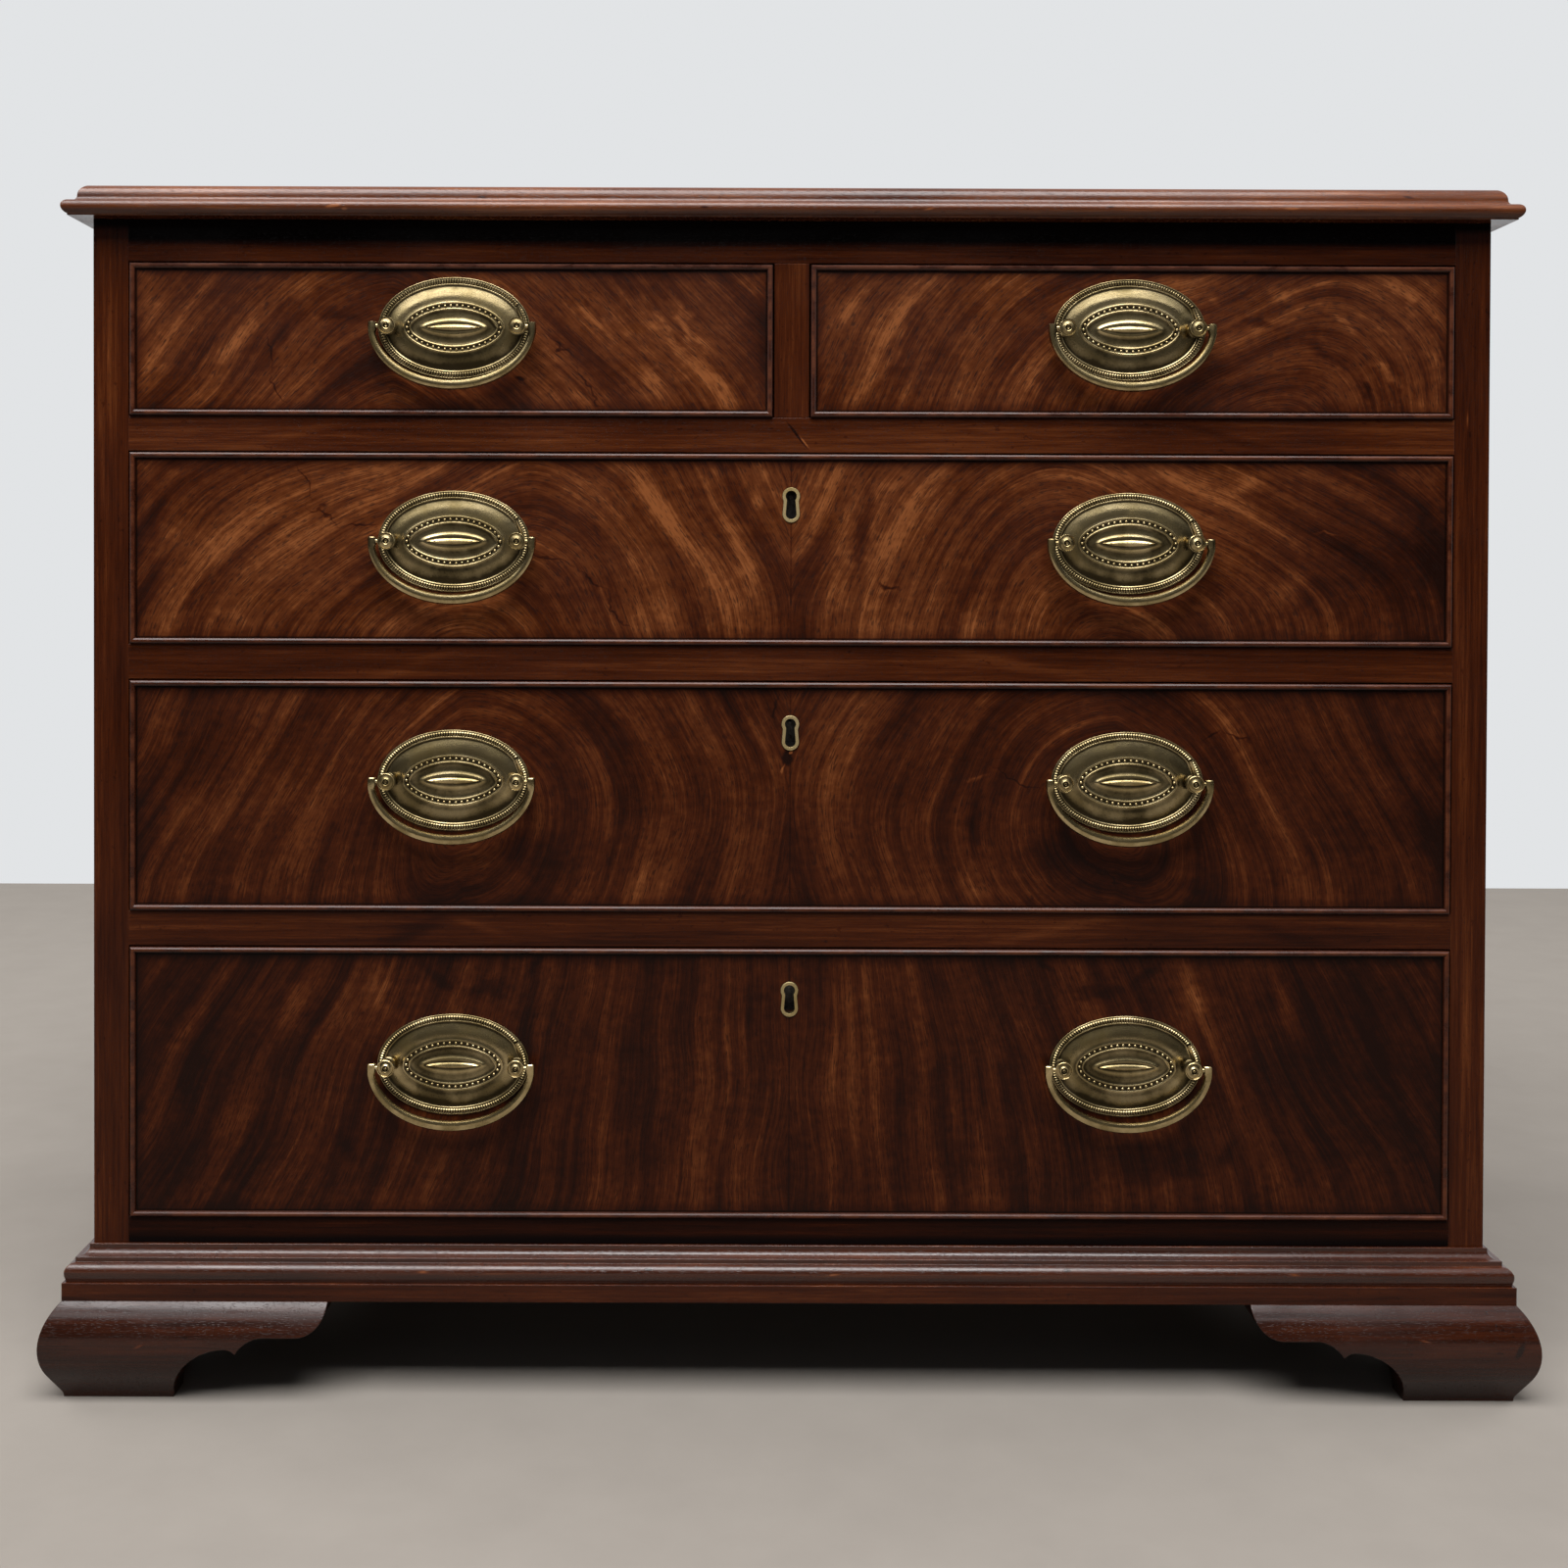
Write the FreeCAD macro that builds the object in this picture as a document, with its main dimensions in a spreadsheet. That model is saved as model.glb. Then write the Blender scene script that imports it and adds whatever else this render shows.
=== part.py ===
"""A Georgian bachelors chest: two short drawers over three long ones, on ogee bracket feet.

Frame: millimetres, +Z up, the front faces -Y. The origin is on the floor, under the middle of the
whole chest. Driving sizes are in the sheet Sizes, and the planes worked out from them in Layout.
"""
import FreeCAD, Part
import math
import os
import re
import Sketcher

V = FreeCAD.Vector

SIZES = {
    # carcase
    "carcase_width": 960,
    "carcase_depth": 480,
    "side_thickness": 20,
    "stile_width": 24,
    "stile_thickness": 5,
    "divider_width": 24,
    "rail_thickness": 24,
    "rail_depth": 60,
    "top_rail_height": 29,
    "bottom_rail_thickness": 22,
    "base_reveal": 18,
    "housing_depth": 6,
    "bottom_thickness": 18,
    "dustboard_thickness": 8,
    "dustboard_tongue": 6,
    "back_thickness": 12,
    "back_rebate": 10,
    "runner_width": 34,
    "centre_runner_width": 68,
    "guide_height": 16,
    "stop_height": 5,
    "stop_length": 44,
    "stop_depth": 12,
    "stop_gap": 0.3,
    # drawer openings, from the floor up
    "lower_height": 188,
    "middle_height": 160,
    "upper_height": 133,
    "short_height": 106,
    # top board and the moulding worked on it
    "top_thickness": 22,
    "top_arris_reach": 3.1,
    "top_ovolo_reach": 8.2,
    "top_cove_reach": 11.6,
    "top_nose_reach": 16.6,
    "top_nose_foot_reach": 13.2,
    "top_ovolo_level": 14,
    "top_cove_level": 10.6,
    "top_nose_level": 6,
    "top_nose_foot_level": 1,
    # base moulding and plinth strip
    "strip_height": 12,
    "strip_projection": 16.4,
    "moulding_height": 22,
    "torus_projection": 15.3,
    "torus_root": 10.4,
    "torus_foot_reach": 14.2,
    "torus_foot_level": 1.2,
    "torus_height": 10.8,
    "lower_fillet_reach": 9.4,
    "cavetto_reach": 7.2,
    "cavetto_level": 15.4,
    "upper_fillet_reach": 2.2,
    "upper_fillet_level": 20,
    # ogee bracket feet
    "foot_height": 66,
    "foot_length": 165,
    "foot_inset": 5,
    "foot_projection": 28.5,
    "foot_belly_level": 37,
    "foot_neck_reach": 23.3,
    "foot_neck_level": 17,
    "foot_hollow_level": 4.5,
    "foot_block": 42,
    "bracket_edge": 1,
    "bracket_lobe_width": 20,
    "bracket_lobe_level": 45.5,
    "bracket_point_start": 124,
    "bracket_point_end": 105,
    "bracket_point_level": 34.5,
    "bracket_arch_level": 38,
    "bracket_leg": 60,
    "rear_bracket_thickness": 18,
    "rear_bracket_length": 120,
    # drawers
    "drawer_gap": 1,
    "running_gap": 0.3,
    "drawer_space_behind": 10,
    "front_thickness": 22,
    "side_drop": 3,
    "drawer_side_thickness": 10,
    "drawer_back_thickness": 10,
    "drawer_back_drop": 5,
    "drawer_bottom_thickness": 7,
    "drawer_bottom_lift": 8,
    "drawer_groove": 4,
    "bead_thickness": 4,
    "bead_seat": 7,
    "bead_proud": 2.5,
    "tail_length": 14,
    "tail_slope": 6,
    "tail_spacing": 38,
    "pin_width": 14,
    # handles
    "bore_spacing": 88.9,
    "handle_offset": 232,
    "short_handle_level": 60.8,
    "upper_handle_level": 71.2,
    "middle_handle_level": 90.7,
    "lower_handle_level": 106.5,
    "plate_width": 104.5,
    "plate_height": 69.7,
    "plate_thickness": 1.2,
    "dome_width": 69,
    "dome_height": 35,
    "dome_rise": 2.4,
    "dome_bevel_height": 1.8,
    "dome_bevel_width": 5,
    "shank_width": 4,
    "shank_clearance": 0.2,
    "post_neck_width": 7.6,
    "post_head_width": 11.3,
    "post_head_low": 4.2,
    "post_head_high": 4,
    "post_head_bevel": 1.4,
    "shank_end": 1.2,
    "pivot_reach": 10,
    "nut_width": 11,
    "nut_thickness": 4,
    "pin_diameter": 3.2,
    "pin_clearance": 0.09,
    "bail_width": 115,
    "bail_drop": 43.4,
    "bail_bar": 7,
    "bail_arm": 4.8,
    "bail_thickness": 5,
    "bail_horn": 3,
    "bail_head_drop": 4.5,
    "bail_side_gap": 0.4,
    # locks
    "keyhole_drop": 36,
    "keyhole_height": 19.5,
    "keyhole_head": 7.4,
    "keyhole_waist": 5.5,
    "keyhole_flare": 7.2,
    "escutcheon_wall": 2.4,
    "escutcheon_depth": 4.2,
    "escutcheon_proud": 0.8,
    "escutcheon_clearance": 0.1,
    "key_pin_diameter": 2.5,
    "lock_width": 50,
    "lock_height": 46,
    "lock_thickness": 12,
    "lock_wall": 3,
    "selvedge_width": 62,
    "selvedge_depth": 14,
    "selvedge_thickness": 2,
    "bolt_width": 20,
    "bolt_thickness": 5,
    "bolt_height": 21,
    "bolt_clearance": 0.4,
    "bolt_sink": 0.3,
    "bolt_travel": 7,
    "mortise_clearance": 1.6,
    "mortise_room": 1.5,
    # how far a cut runs past the face that it starts from
    "cut_over": 2,
}

LAYOUT = {
    "half_width": "carcase_width / 2",
    "inside_half": "half_width - side_thickness",
    "opening_half": "half_width - stile_width",
    "short_half": "(opening_half - divider_width / 2) / 2",
    "short_centre": "divider_width / 2 + short_half",
    "front": "-(carcase_depth - foot_projection) / 2",
    "back": "front + carcase_depth",
    "back_face": "back - back_thickness",
    "stile_back": "front + stile_thickness",
    "rail_back": "front + rail_depth",
    "foot_bend": "(foot_projection - foot_neck_reach) / (foot_belly_level - foot_neck_level)",
    "foot_slope": "2 * foot_bend / (1 - foot_bend ^ 2)",
    "foot_hollow_reach": "foot_neck_reach - (foot_neck_level - foot_hollow_level) * foot_slope",
    "foot_toe_reach": "foot_hollow_reach - foot_hollow_level * foot_bend",
    "moulding_floor": "foot_height + strip_height",
    "moulding_ceiling": "moulding_floor + moulding_height",
    "lower_floor": "moulding_ceiling + base_reveal",
    "lower_ceiling": "lower_floor + lower_height",
    "middle_floor": "lower_ceiling + rail_thickness",
    "middle_ceiling": "middle_floor + middle_height",
    "upper_floor": "middle_ceiling + rail_thickness",
    "upper_ceiling": "upper_floor + upper_height",
    "short_floor": "upper_ceiling + rail_thickness",
    "short_ceiling": "short_floor + short_height",
    "carcase_top": "short_ceiling + top_rail_height",
    "drawer_length": "carcase_depth - back_thickness - drawer_space_behind",
    "drawer_back_floor": "drawer_bottom_lift + drawer_bottom_thickness",
    "drawer_back_face": "drawer_length - drawer_back_thickness",
    "half_bore": "bore_spacing / 2",
    "bail_half": "bail_width / 2",
    "bail_face": "half_bore + post_head_width / 2 + bail_side_gap",
    "bail_pin_end": "half_bore - post_head_width / 4",
    "bolt_line": "front_thickness - lock_wall - bolt_clearance - bolt_thickness / 2",
    "keyhole_top": "keyhole_height / 2",
    "keyhole_head_level": "keyhole_top - keyhole_head / 2",
}

# name, row, centre of the opening and half its width, where its handles are
LONG = ("0", "opening_half")
DRAWERS = (
    ("short_left", "short", ("-short_centre", "short_half"), {"": "-handle_offset"}),
    ("short_right", "short", ("short_centre", "short_half"), {"": "handle_offset"}),
    ("upper", "upper", LONG, {"_left": "-handle_offset", "_right": "handle_offset"}),
    ("middle", "middle", LONG, {"_left": "-handle_offset", "_right": "handle_offset"}),
    ("lower", "lower", LONG, {"_left": "-handle_offset", "_right": "handle_offset"}),
)

# the rails between rows of drawers: name, underside, top
RAIL_LEVELS = (
    ("upper", "upper_ceiling", "short_floor"),
    ("middle", "middle_ceiling", "upper_floor"),
    ("lower", "lower_ceiling", "middle_floor"),
)

doc = FreeCAD.newDocument("BachelorsChest")
owners = {}
subparts = []

sheet = doc.addObject("Spreadsheet::Sheet", "Sizes")
for row, (alias, size) in enumerate(SIZES.items(), start=1):
    sheet.set(f"A{row}", alias.replace("_", " "))
    sheet.set(f"B{row}", str(size))
    sheet.setAlias(f"B{row}", alias)
    owners[alias] = "Sizes"


def qualified(text):
    """An expression with each known name given its owner, as in Sizes.foot_height."""

    def with_owner(match):
        name = match[0]
        return f"{owners[name]}.{name}" if name in owners else name

    return re.sub(r"[a-z_]+", with_owner, text)


def bind(thing, target, text):
    thing.setExpression(target, qualified(text))


def value_set(name, values):
    """A VarSet of values worked out from the sheet and from those before them."""
    made = doc.addObject("App::VarSet", name)
    for key, text in values.items():
        made.addProperty("App::PropertyFloat", key)
        bind(made, key, text)
    return made


for alias in LAYOUT:
    owners[alias] = "Layout"
layout = value_set("Layout", LAYOUT)
doc.recompute()


def number(text):
    """What an expression comes to now."""
    return float(layout.evalExpression(qualified(text)))


# ---- sketches and features ----


def arc_centre(start, end, rule):
    """Centre of the arc from start to end that is level with, or plumb over, one of its ends."""
    anchor = start if rule.endswith("start") else end
    middle = (start + end) / 2
    across = end - start
    if rule.startswith("level"):
        return V(middle.x - (anchor.y - middle.y) * across.y / across.x, anchor.y, 0)
    return V(anchor.x, middle.y - (anchor.x - middle.x) * across.x / across.y, 0)


def hold(profile, kind, name, where, text):
    """One dimension of a sketch, bound to an expression."""
    made = profile.addConstraint(Sketcher.Constraint(kind, *where, number(text)))
    profile.renameConstraint(made, name)
    bind(profile, f"Constraints.{name}", text)


def draw_loop(profile, corners):
    """Lines and arcs from corner to corner. A corner is (x, y), or (x, y, rule) before an arc."""
    points = [V(number(corner[0]), number(corner[1]), 0) for corner in corners]
    edges = []
    for index, corner in enumerate(corners):
        start = points[index]
        end = points[(index + 1) % len(points)]
        if len(corner) == 2:
            edges.append((profile.addGeometry(Part.LineSegment(start, end), False), 1, 2))
            continue
        centre = arc_centre(start, end, corner[2])
        forward = (start - centre).cross(end - centre).z > 0
        first, last = (1, 2) if forward else (2, 1)
        angles = [math.atan2(point.y - centre.y, point.x - centre.x) for point in (start, end)]
        low, high = angles if forward else reversed(angles)
        circle = Part.Circle(centre, V(0, 0, 1), (start - centre).Length)
        edge = profile.addGeometry(Part.ArcOfCircle(circle, low, high), False)
        edges.append((edge, first, last))
        kind = "Horizontal" if corner[2].startswith("level") else "Vertical"
        anchor = first if corner[2].endswith("start") else last
        profile.addConstraint(Sketcher.Constraint(kind, edge, 3, edge, anchor))
    for index, (edge, first, last) in enumerate(edges):
        following = edges[(index + 1) % len(edges)]
        profile.addConstraint(Sketcher.Constraint("Coincident", edge, last, following[0], following[1]))
        hold(profile, "DistanceX", f"x{edge}", (edge, first), corners[index][0])
        hold(profile, "DistanceY", f"y{edge}", (edge, first), corners[index][1])


def new_body(name):
    return doc.addObject("PartDesign::Body", name)


def sketch(body, plane, name, loops, offset="0"):
    """A sketch on one of the body's own planes: XY, XZ or YZ."""
    profile = body.newObject("Sketcher::SketchObject", f"{body.Name}_{name}")
    support = next(item for item in body.Origin.OriginFeatures if item.Role == f"{plane}_Plane")
    profile.AttachmentSupport = [(support, "")]
    profile.MapMode = "FlatFace"
    bind(profile, ".AttachmentOffset.Base.z", offset)
    for corners in loops:
        draw_loop(profile, corners)
    return profile


def rectangle(x, y):
    return [(x[0], y[0]), (x[1], y[0]), (x[1], y[1]), (x[0], y[1])]


def square(x, y, width):
    half = f"({width}) / 2"
    return rectangle((f"{x} - {half}", f"{x} + {half}"), (f"{y} - {half}", f"{y} + {half}"))


def facets(width, height, sides, share=1, over=False):
    """Corners spaced round an oval of many flats, or round the lower share of one.

    The corners lie on the oval, or just outside it if its flats are to lie on it.
    """
    size = f"cos(180 / {sides})" if over else "1"
    turns = [(step + (share == 1) / 2) / sides for step in range(int(sides * share) + (share < 1))]
    return [
        (
            f"{width} / 2 * cos({180 + 360 * turn}) / {size}",
            f"{height} / 2 * sin({180 + 360 * turn}) / {size}",
        )
        for turn in turns
    ]


def extrude(kind, body, profile, length, both_ways=False, reverse=False):
    made = body.newObject(f"PartDesign::{kind}", f"{profile.Name}_{kind.lower()}")
    made.Profile = profile
    bind(made, "Length", length)
    made.Midplane = both_ways
    made.Reversed = reverse
    return made


def pad(body, profile, length, **ways):
    return extrude("Pad", body, profile, length, **ways)


def pocket(body, profile, length, **ways):
    return extrude("Pocket", body, profile, length, **ways)


def repeat_up(body, original, profile, pitch, count):
    """Repeat a pad or a pocket up its own sketch."""
    made = body.newObject("PartDesign::LinearPattern", f"{original.Name}_row")
    made.Originals = [original]
    made.Direction = (profile, ["V_Axis"])
    bind(made, "Length", f"{pitch} * ({count} - 1)")
    bind(made, "Occurrences", count)
    body.Tip = made


# ---- boards, mirrors and groups ----


def board(name, x, y, z):
    """A rectangular board between its low and high planes."""
    made = doc.addObject("Part::Box", name)
    for side, axis, (low, high) in zip(("Length", "Width", "Height"), "xyz", (x, y, z)):
        bind(made, side, f"({high}) - ({low})")
        bind(made, f".Placement.Base.{axis}", low)
    return made


def move(thing, x="0", y="0", z="0", turn=None):
    if turn:
        thing.Placement.Rotation = turn
    for axis, text in zip("xyz", (x, y, z)):
        bind(thing, f".Placement.Base.{axis}", text)
    return thing


def mirror(name, source, normal=V(1, 0, 0), base=("0", "0", "0")):
    made = doc.addObject("Part::Mirroring", name)
    made.Source = source
    made.Normal = normal
    for axis, text in zip("xyz", base):
        bind(made, f".Base.{axis}", text)
    return made


def group(name, members):
    made = doc.addObject("Part::Compound", name)
    made.Links = members
    return made


def copy_of(name, master):
    made = doc.addObject("App::Link", name)
    made.LinkedObject = master
    return made


def subpart(thing, label):
    thing.Label = label
    subparts.append(thing)


FACE_FORWARD = FreeCAD.Rotation(V(1, 0, 0), 90)
FACE_LEFT = FreeCAD.Rotation(V(0, 0, 1), -90)
FACE_RIGHT = FreeCAD.Rotation(V(0, 0, 1), 90)


def moulded_length(name, loop, length, corners, over, behind="0"):
    """A moulded strip along X, mitred round one corner or two where it meets y = 0.

    With two corners it lies middle on the origin, with one it starts there. Its section reaches
    from y = -over to y = behind.
    """
    body = new_body(name)
    profile = sketch(body, "YZ", "section", [loop])
    pad(body, profile, f"{length} + {corners} * ({over})", both_ways=corners == 2)
    end = f"{length} / 2" if corners == 2 else length
    past = f"({over} + cut_over)"
    inner = f"({behind} + cut_over)"
    waste = [
        (f"{end} - {inner}", inner),
        (f"{end} + {past}", f"-{past}"),
        (f"{end} + {past}", inner),
    ]
    mirrored = [(f"-({x})", y) for x, y in waste]
    mitres = sketch(body, "XY", "mitres", [waste, mirrored] if corners == 2 else [waste])
    reach = "2 * (foot_height + moulding_height)"
    pocket(body, mitres, reach, both_ways=True)
    return body


# ---- carcase ----


def make_top():
    """Three lengths of board, moulded to the front, left and right, and what they have in common."""
    section = [
        ("-top_arris_reach", "top_thickness", "level_end"),
        ("-top_ovolo_reach", "top_ovolo_level", "level_start"),
        ("-top_cove_reach", "top_cove_level", "level_end"),
        ("-top_nose_reach", "top_nose_level", "level_start"),
        ("-top_nose_foot_reach", "top_nose_foot_level"),
        ("-top_nose_foot_reach", "0"),
    ]
    lengths = []
    width = "carcase_width + top_nose_reach"
    depth = "2 * (carcase_depth + top_nose_reach)"
    for facing, reach, run, turn, place in (
        ("front", "carcase_depth", f"{width} + top_nose_reach", None, ("0", "front")),
        ("left", width, depth, FACE_LEFT, ("-half_width", "back")),
        ("right", width, depth, FACE_RIGHT, ("half_width", "back")),
    ):
        body = new_body(f"top_{facing}")
        profile = sketch(body, "YZ", "section", [section + [(reach, "0"), (reach, "top_thickness")]])
        pad(body, profile, run, both_ways=True)
        lengths.append(move(body, *place, "carcase_top", turn))
    top = doc.addObject("Part::MultiCommon", "top_board")
    top.Shapes = lengths
    subpart(top, "top_board")


def make_sides():
    body = new_body("side_left")
    plan = [
        ("-half_width", "stile_back"),
        ("-inside_half", "stile_back"),
        ("-inside_half", "back_face"),
        ("-inside_half - back_rebate", "back_face"),
        ("-inside_half - back_rebate", "back"),
        ("-half_width", "back"),
    ]
    profile = sketch(body, "XY", "plan", [plan], offset="foot_height")
    pad(body, profile, "carcase_top - foot_height")
    rail_reach = ("stile_back - cut_over", "rail_back")
    floor_reach = ("front + bottom_rail_thickness", "back_face")
    housings = [rectangle(rail_reach, (floor, ceiling)) for _, floor, ceiling in RAIL_LEVELS]
    housings += [
        rectangle(rail_reach, ("short_ceiling", "carcase_top + cut_over")),
        rectangle(floor_reach, ("lower_floor - bottom_thickness", "lower_floor")),
    ]
    profile = sketch(body, "YZ", "housings", housings, offset="-inside_half")
    pocket(body, profile, "housing_depth")
    subpart(body, "side_left")
    subpart(mirror("side_right", body), "side_right")


def make_stiles():
    across = ("-half_width", "-opening_half")
    left = board("stile_left", across, ("front", "stile_back"), ("foot_height", "carcase_top"))
    subpart(group("stiles", [left, mirror("stile_right", left)]), "front_stiles")


def make_rail(name, floor, ceiling, depth, ends):
    """A rail across the front, notched round the stiles and let into the sides behind them."""
    body = new_body(name)
    right = [
        ("opening_half", "front"),
        ("opening_half", "stile_back"),
        (ends, "stile_back"),
        (ends, depth),
    ]
    left = [(f"-({x})", y) for x, y in reversed(right)]
    profile = sketch(body, "XY", "plan", [right + left], offset=floor)
    pad(body, profile, f"{ceiling} - {floor}")
    subpart(body, name)
    return body


def make_rails():
    housed = "inside_half + housing_depth"
    make_rail("top_rail", "short_ceiling", "carcase_top", "rail_back", housed)
    depth = "front + bottom_rail_thickness"
    make_rail("bottom_rail", "foot_height", "lower_floor", depth, "inside_half")
    for name, floor, ceiling in RAIL_LEVELS:
        body = make_rail(f"rail_{name}", floor, ceiling, "rail_back", housed)
        reach = ("rail_back - dustboard_tongue", "rail_back + cut_over")
        groove = rectangle(reach, dustboard_span(floor))
        profile = sketch(body, "YZ", "dustboard_groove", [groove])
        pocket(body, profile, "carcase_width", both_ways=True)
        half = "(bolt_width / 2 + mortise_clearance)"
        line = "(front + bolt_line)"
        wall = "(bolt_thickness / 2 + mortise_clearance)"
        mortise = rectangle((f"-{half}", half), (f"{line} - {wall}", f"{line} + {wall}"))
        profile = sketch(body, "XY", "bolt_mortise", [mortise], offset=floor)
        pocket(body, profile, "bolt_travel + mortise_room", reverse=True)


def dustboard_span(floor):
    """The levels of a dustboard, in the middle of the thickness of its rail."""
    middle = f"{floor} + rail_thickness / 2"
    return (f"{middle} - dustboard_thickness / 2", f"{middle} + dustboard_thickness / 2")


def runner(name, section, offset="-back_face"):
    """A bar of constant section from the rails back to the backboards."""
    body = new_body(name)
    profile = sketch(body, "XZ", "section", [section], offset=offset)
    pad(body, profile, "back_face - rail_back")
    return body


def make_runners():
    paired = []
    behind = ("rail_back", "back_face")
    inner = "(-inside_half + runner_width)"
    for name, floor, ceiling in RAIL_LEVELS:
        low, high = dustboard_span(floor)
        grooved = [
            ("-inside_half", floor),
            (inner, floor),
            (inner, low),
            (f"{inner} - dustboard_tongue", low),
            (f"{inner} - dustboard_tongue", high),
            (inner, high),
            (inner, ceiling),
            ("-inside_half", ceiling),
        ]
        paired.append(runner(f"runner_{name}", grooved))
    low, high = dustboard_span("upper_ceiling")
    half = "(centre_runner_width / 2)"
    root = "(centre_runner_width / 2 - dustboard_tongue)"
    right = [
        (half, "upper_ceiling"),
        (half, low),
        (root, low),
        (root, high),
        (half, high),
        (half, "short_floor"),
    ]
    left = [(f"-{x}", z) for x, z in reversed(right)]
    under_top = ("short_ceiling", "carcase_top")
    single = [
        runner("centre_runner", right + left),
        board("centre_kicker", (f"-{half}", half), behind, under_top),
    ]
    at_side = ("-inside_half", "-inside_half + runner_width")
    paired.append(board("kicker", at_side, behind, under_top))
    for row in ("lower", "middle", "upper", "short"):
        level = (f"{row}_floor", f"{row}_floor + guide_height")
        paired.append(board(f"guide_{row}", ("-inside_half", "-opening_half"), behind, level))
    others = [mirror(f"{one.Name}_right", one) for one in paired]
    subpart(group("runners", single + paired + others), "drawer_runners")


def make_divider():
    half = "(divider_width / 2)"
    across = (f"-{half}", half)
    muntin = board("muntin", across, ("front", "rail_back"), ("short_floor", "short_ceiling"))
    level = ("short_floor", "short_floor + guide_height")
    guide = board("centre_guide", across, ("rail_back", "back_face"), level)
    subpart(group("divider", [muntin, guide]), "centre_divider")


def make_dustboards():
    reach = "(inside_half - runner_width + dustboard_tongue)"
    depth = ("rail_back - dustboard_tongue", "back_face")
    near = "centre_runner_width / 2 - dustboard_tongue"
    across = (f"-{reach}", f"-({near})")
    left = board("dustboard_upper", across, depth, dustboard_span("upper_ceiling"))
    members = [left, mirror("dustboard_upper_right", left)]
    for name, floor, _ in RAIL_LEVELS[1:]:
        members.append(board(f"dustboard_{name}", (f"-{reach}", reach), depth, dustboard_span(floor)))
    subpart(group("dustboards_all", members), "dustboards")


def make_floor_and_back():
    ends = "(inside_half + housing_depth)"
    floor = board(
        "bottom_board",
        (f"-{ends}", ends),
        ("front + bottom_rail_thickness", "back_face"),
        ("lower_floor - bottom_thickness", "lower_floor"),
    )
    subpart(floor, "bottom_board")
    edge = "(inside_half + back_rebate)"
    thickness = ("back_face", "back")
    height = ("foot_height", "carcase_top")
    left = board("backboard_left", (f"-{edge}", f"-{edge} / 3"), thickness, height)
    middle = board("backboard_middle", (f"-{edge} / 3", f"{edge} / 3"), thickness, height)
    subpart(group("back", [left, middle, mirror("backboard_right", left)]), "backboards")


def make_stops():
    """Two small blocks behind each drawer front, glued to what the drawer runs over."""
    members = []
    near = "(front + front_thickness + stop_gap)"
    for name, row, (centre, half), _ in DRAWERS:
        floor = f"{row}_floor"
        for side, sign in (("left", "-"), ("right", "+")):
            middle = f"({centre} {sign} {half} / 2)"
            members.append(
                board(
                    f"stop_{name}_{side}",
                    (f"{middle} - stop_length / 2", f"{middle} + stop_length / 2"),
                    (near, f"{near} + stop_depth"),
                    (floor, f"{floor} + stop_height"),
                )
            )
    subpart(group("stops", members), "drawer_stops")


def wrap_round(name, loop, floor, over, label):
    """A moulding in three lengths, mitred at the two front corners."""
    across = move(moulded_length(f"{name}_front", loop, "carcase_width", 2, over), "0", "front", floor)
    left = moulded_length(f"{name}_left", loop, "carcase_depth", 1, over)
    move(left, "-half_width", "back", floor, FACE_LEFT)
    subpart(group(name, [across, left, mirror(f"{name}_right", left)]), label)


def make_base():
    torus_top = "torus_foot_level + torus_height"
    moulding = [
        ("0", "0"),
        ("-torus_foot_reach", "0"),
        ("-torus_foot_reach", "torus_foot_level", "level_end"),
        ("-torus_projection", "torus_foot_level + torus_height / 2", "level_start"),
        ("-torus_root", torus_top),
        ("-lower_fillet_reach", torus_top),
        ("-lower_fillet_reach", "cavetto_level"),
        ("-cavetto_reach", "cavetto_level", "level_end"),
        ("-upper_fillet_reach", "upper_fillet_level"),
        ("-upper_fillet_reach", "moulding_height"),
        ("0", "moulding_height"),
    ]
    wrap_round("mouldings", moulding, "moulding_floor", "torus_projection", "base_moulding")
    strip = rectangle(("-strip_projection", "0"), ("0", "strip_height"))
    wrap_round("strips", strip, "foot_height", "strip_projection", "plinth_strip")


# ---- feet ----


def foot_bracket(name, corners):
    """One side of an ogee bracket foot: section, mitre and shaped lower edge.

    It lies along X, from its inner end at x = 0 to the corner of the chest at x = foot_length.
    Its belly and the small hollow over its toe meet the straight slope between them smoothly.
    """
    section = [
        ("foot_inset", "0"),
        ("-foot_toe_reach", "0", "level_start"),
        ("-foot_hollow_reach", "foot_hollow_level"),
        ("-foot_neck_reach", "foot_neck_level", "level_end"),
        ("-foot_projection", "foot_belly_level", "level_start"),
        ("-strip_projection", "foot_height"),
        ("foot_inset", "foot_height"),
    ]
    if corners:
        body = moulded_length(name, section, "foot_length", 1, "foot_projection", "foot_inset")
    else:
        body = new_body(name)
        pad(body, sketch(body, "YZ", "section", [section]), "foot_length")
    edge = [
        ("-cut_over", "foot_height - bracket_edge"),
        ("0", "foot_height - bracket_edge", "plumb_end"),
        ("bracket_lobe_width", "bracket_lobe_level"),
        ("foot_length - bracket_point_start", "bracket_lobe_level", "plumb_start"),
        ("foot_length - bracket_point_end", "bracket_point_level", "plumb_end"),
        ("foot_length - bracket_leg - bracket_arch_level", "bracket_arch_level", "level_end"),
        ("foot_length - bracket_leg", "0"),
        ("foot_length - bracket_leg", "-cut_over"),
        ("-cut_over", "-cut_over"),
    ]
    profile = sketch(body, "XZ", "shaped_edge", [edge])
    pocket(body, profile, "4 * foot_projection", both_ways=True)
    return body


def foot_block(name, y):
    inside = "-half_width + foot_inset"
    return board(name, (inside, f"{inside} + foot_block"), y, ("0", "foot_height"))


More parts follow.
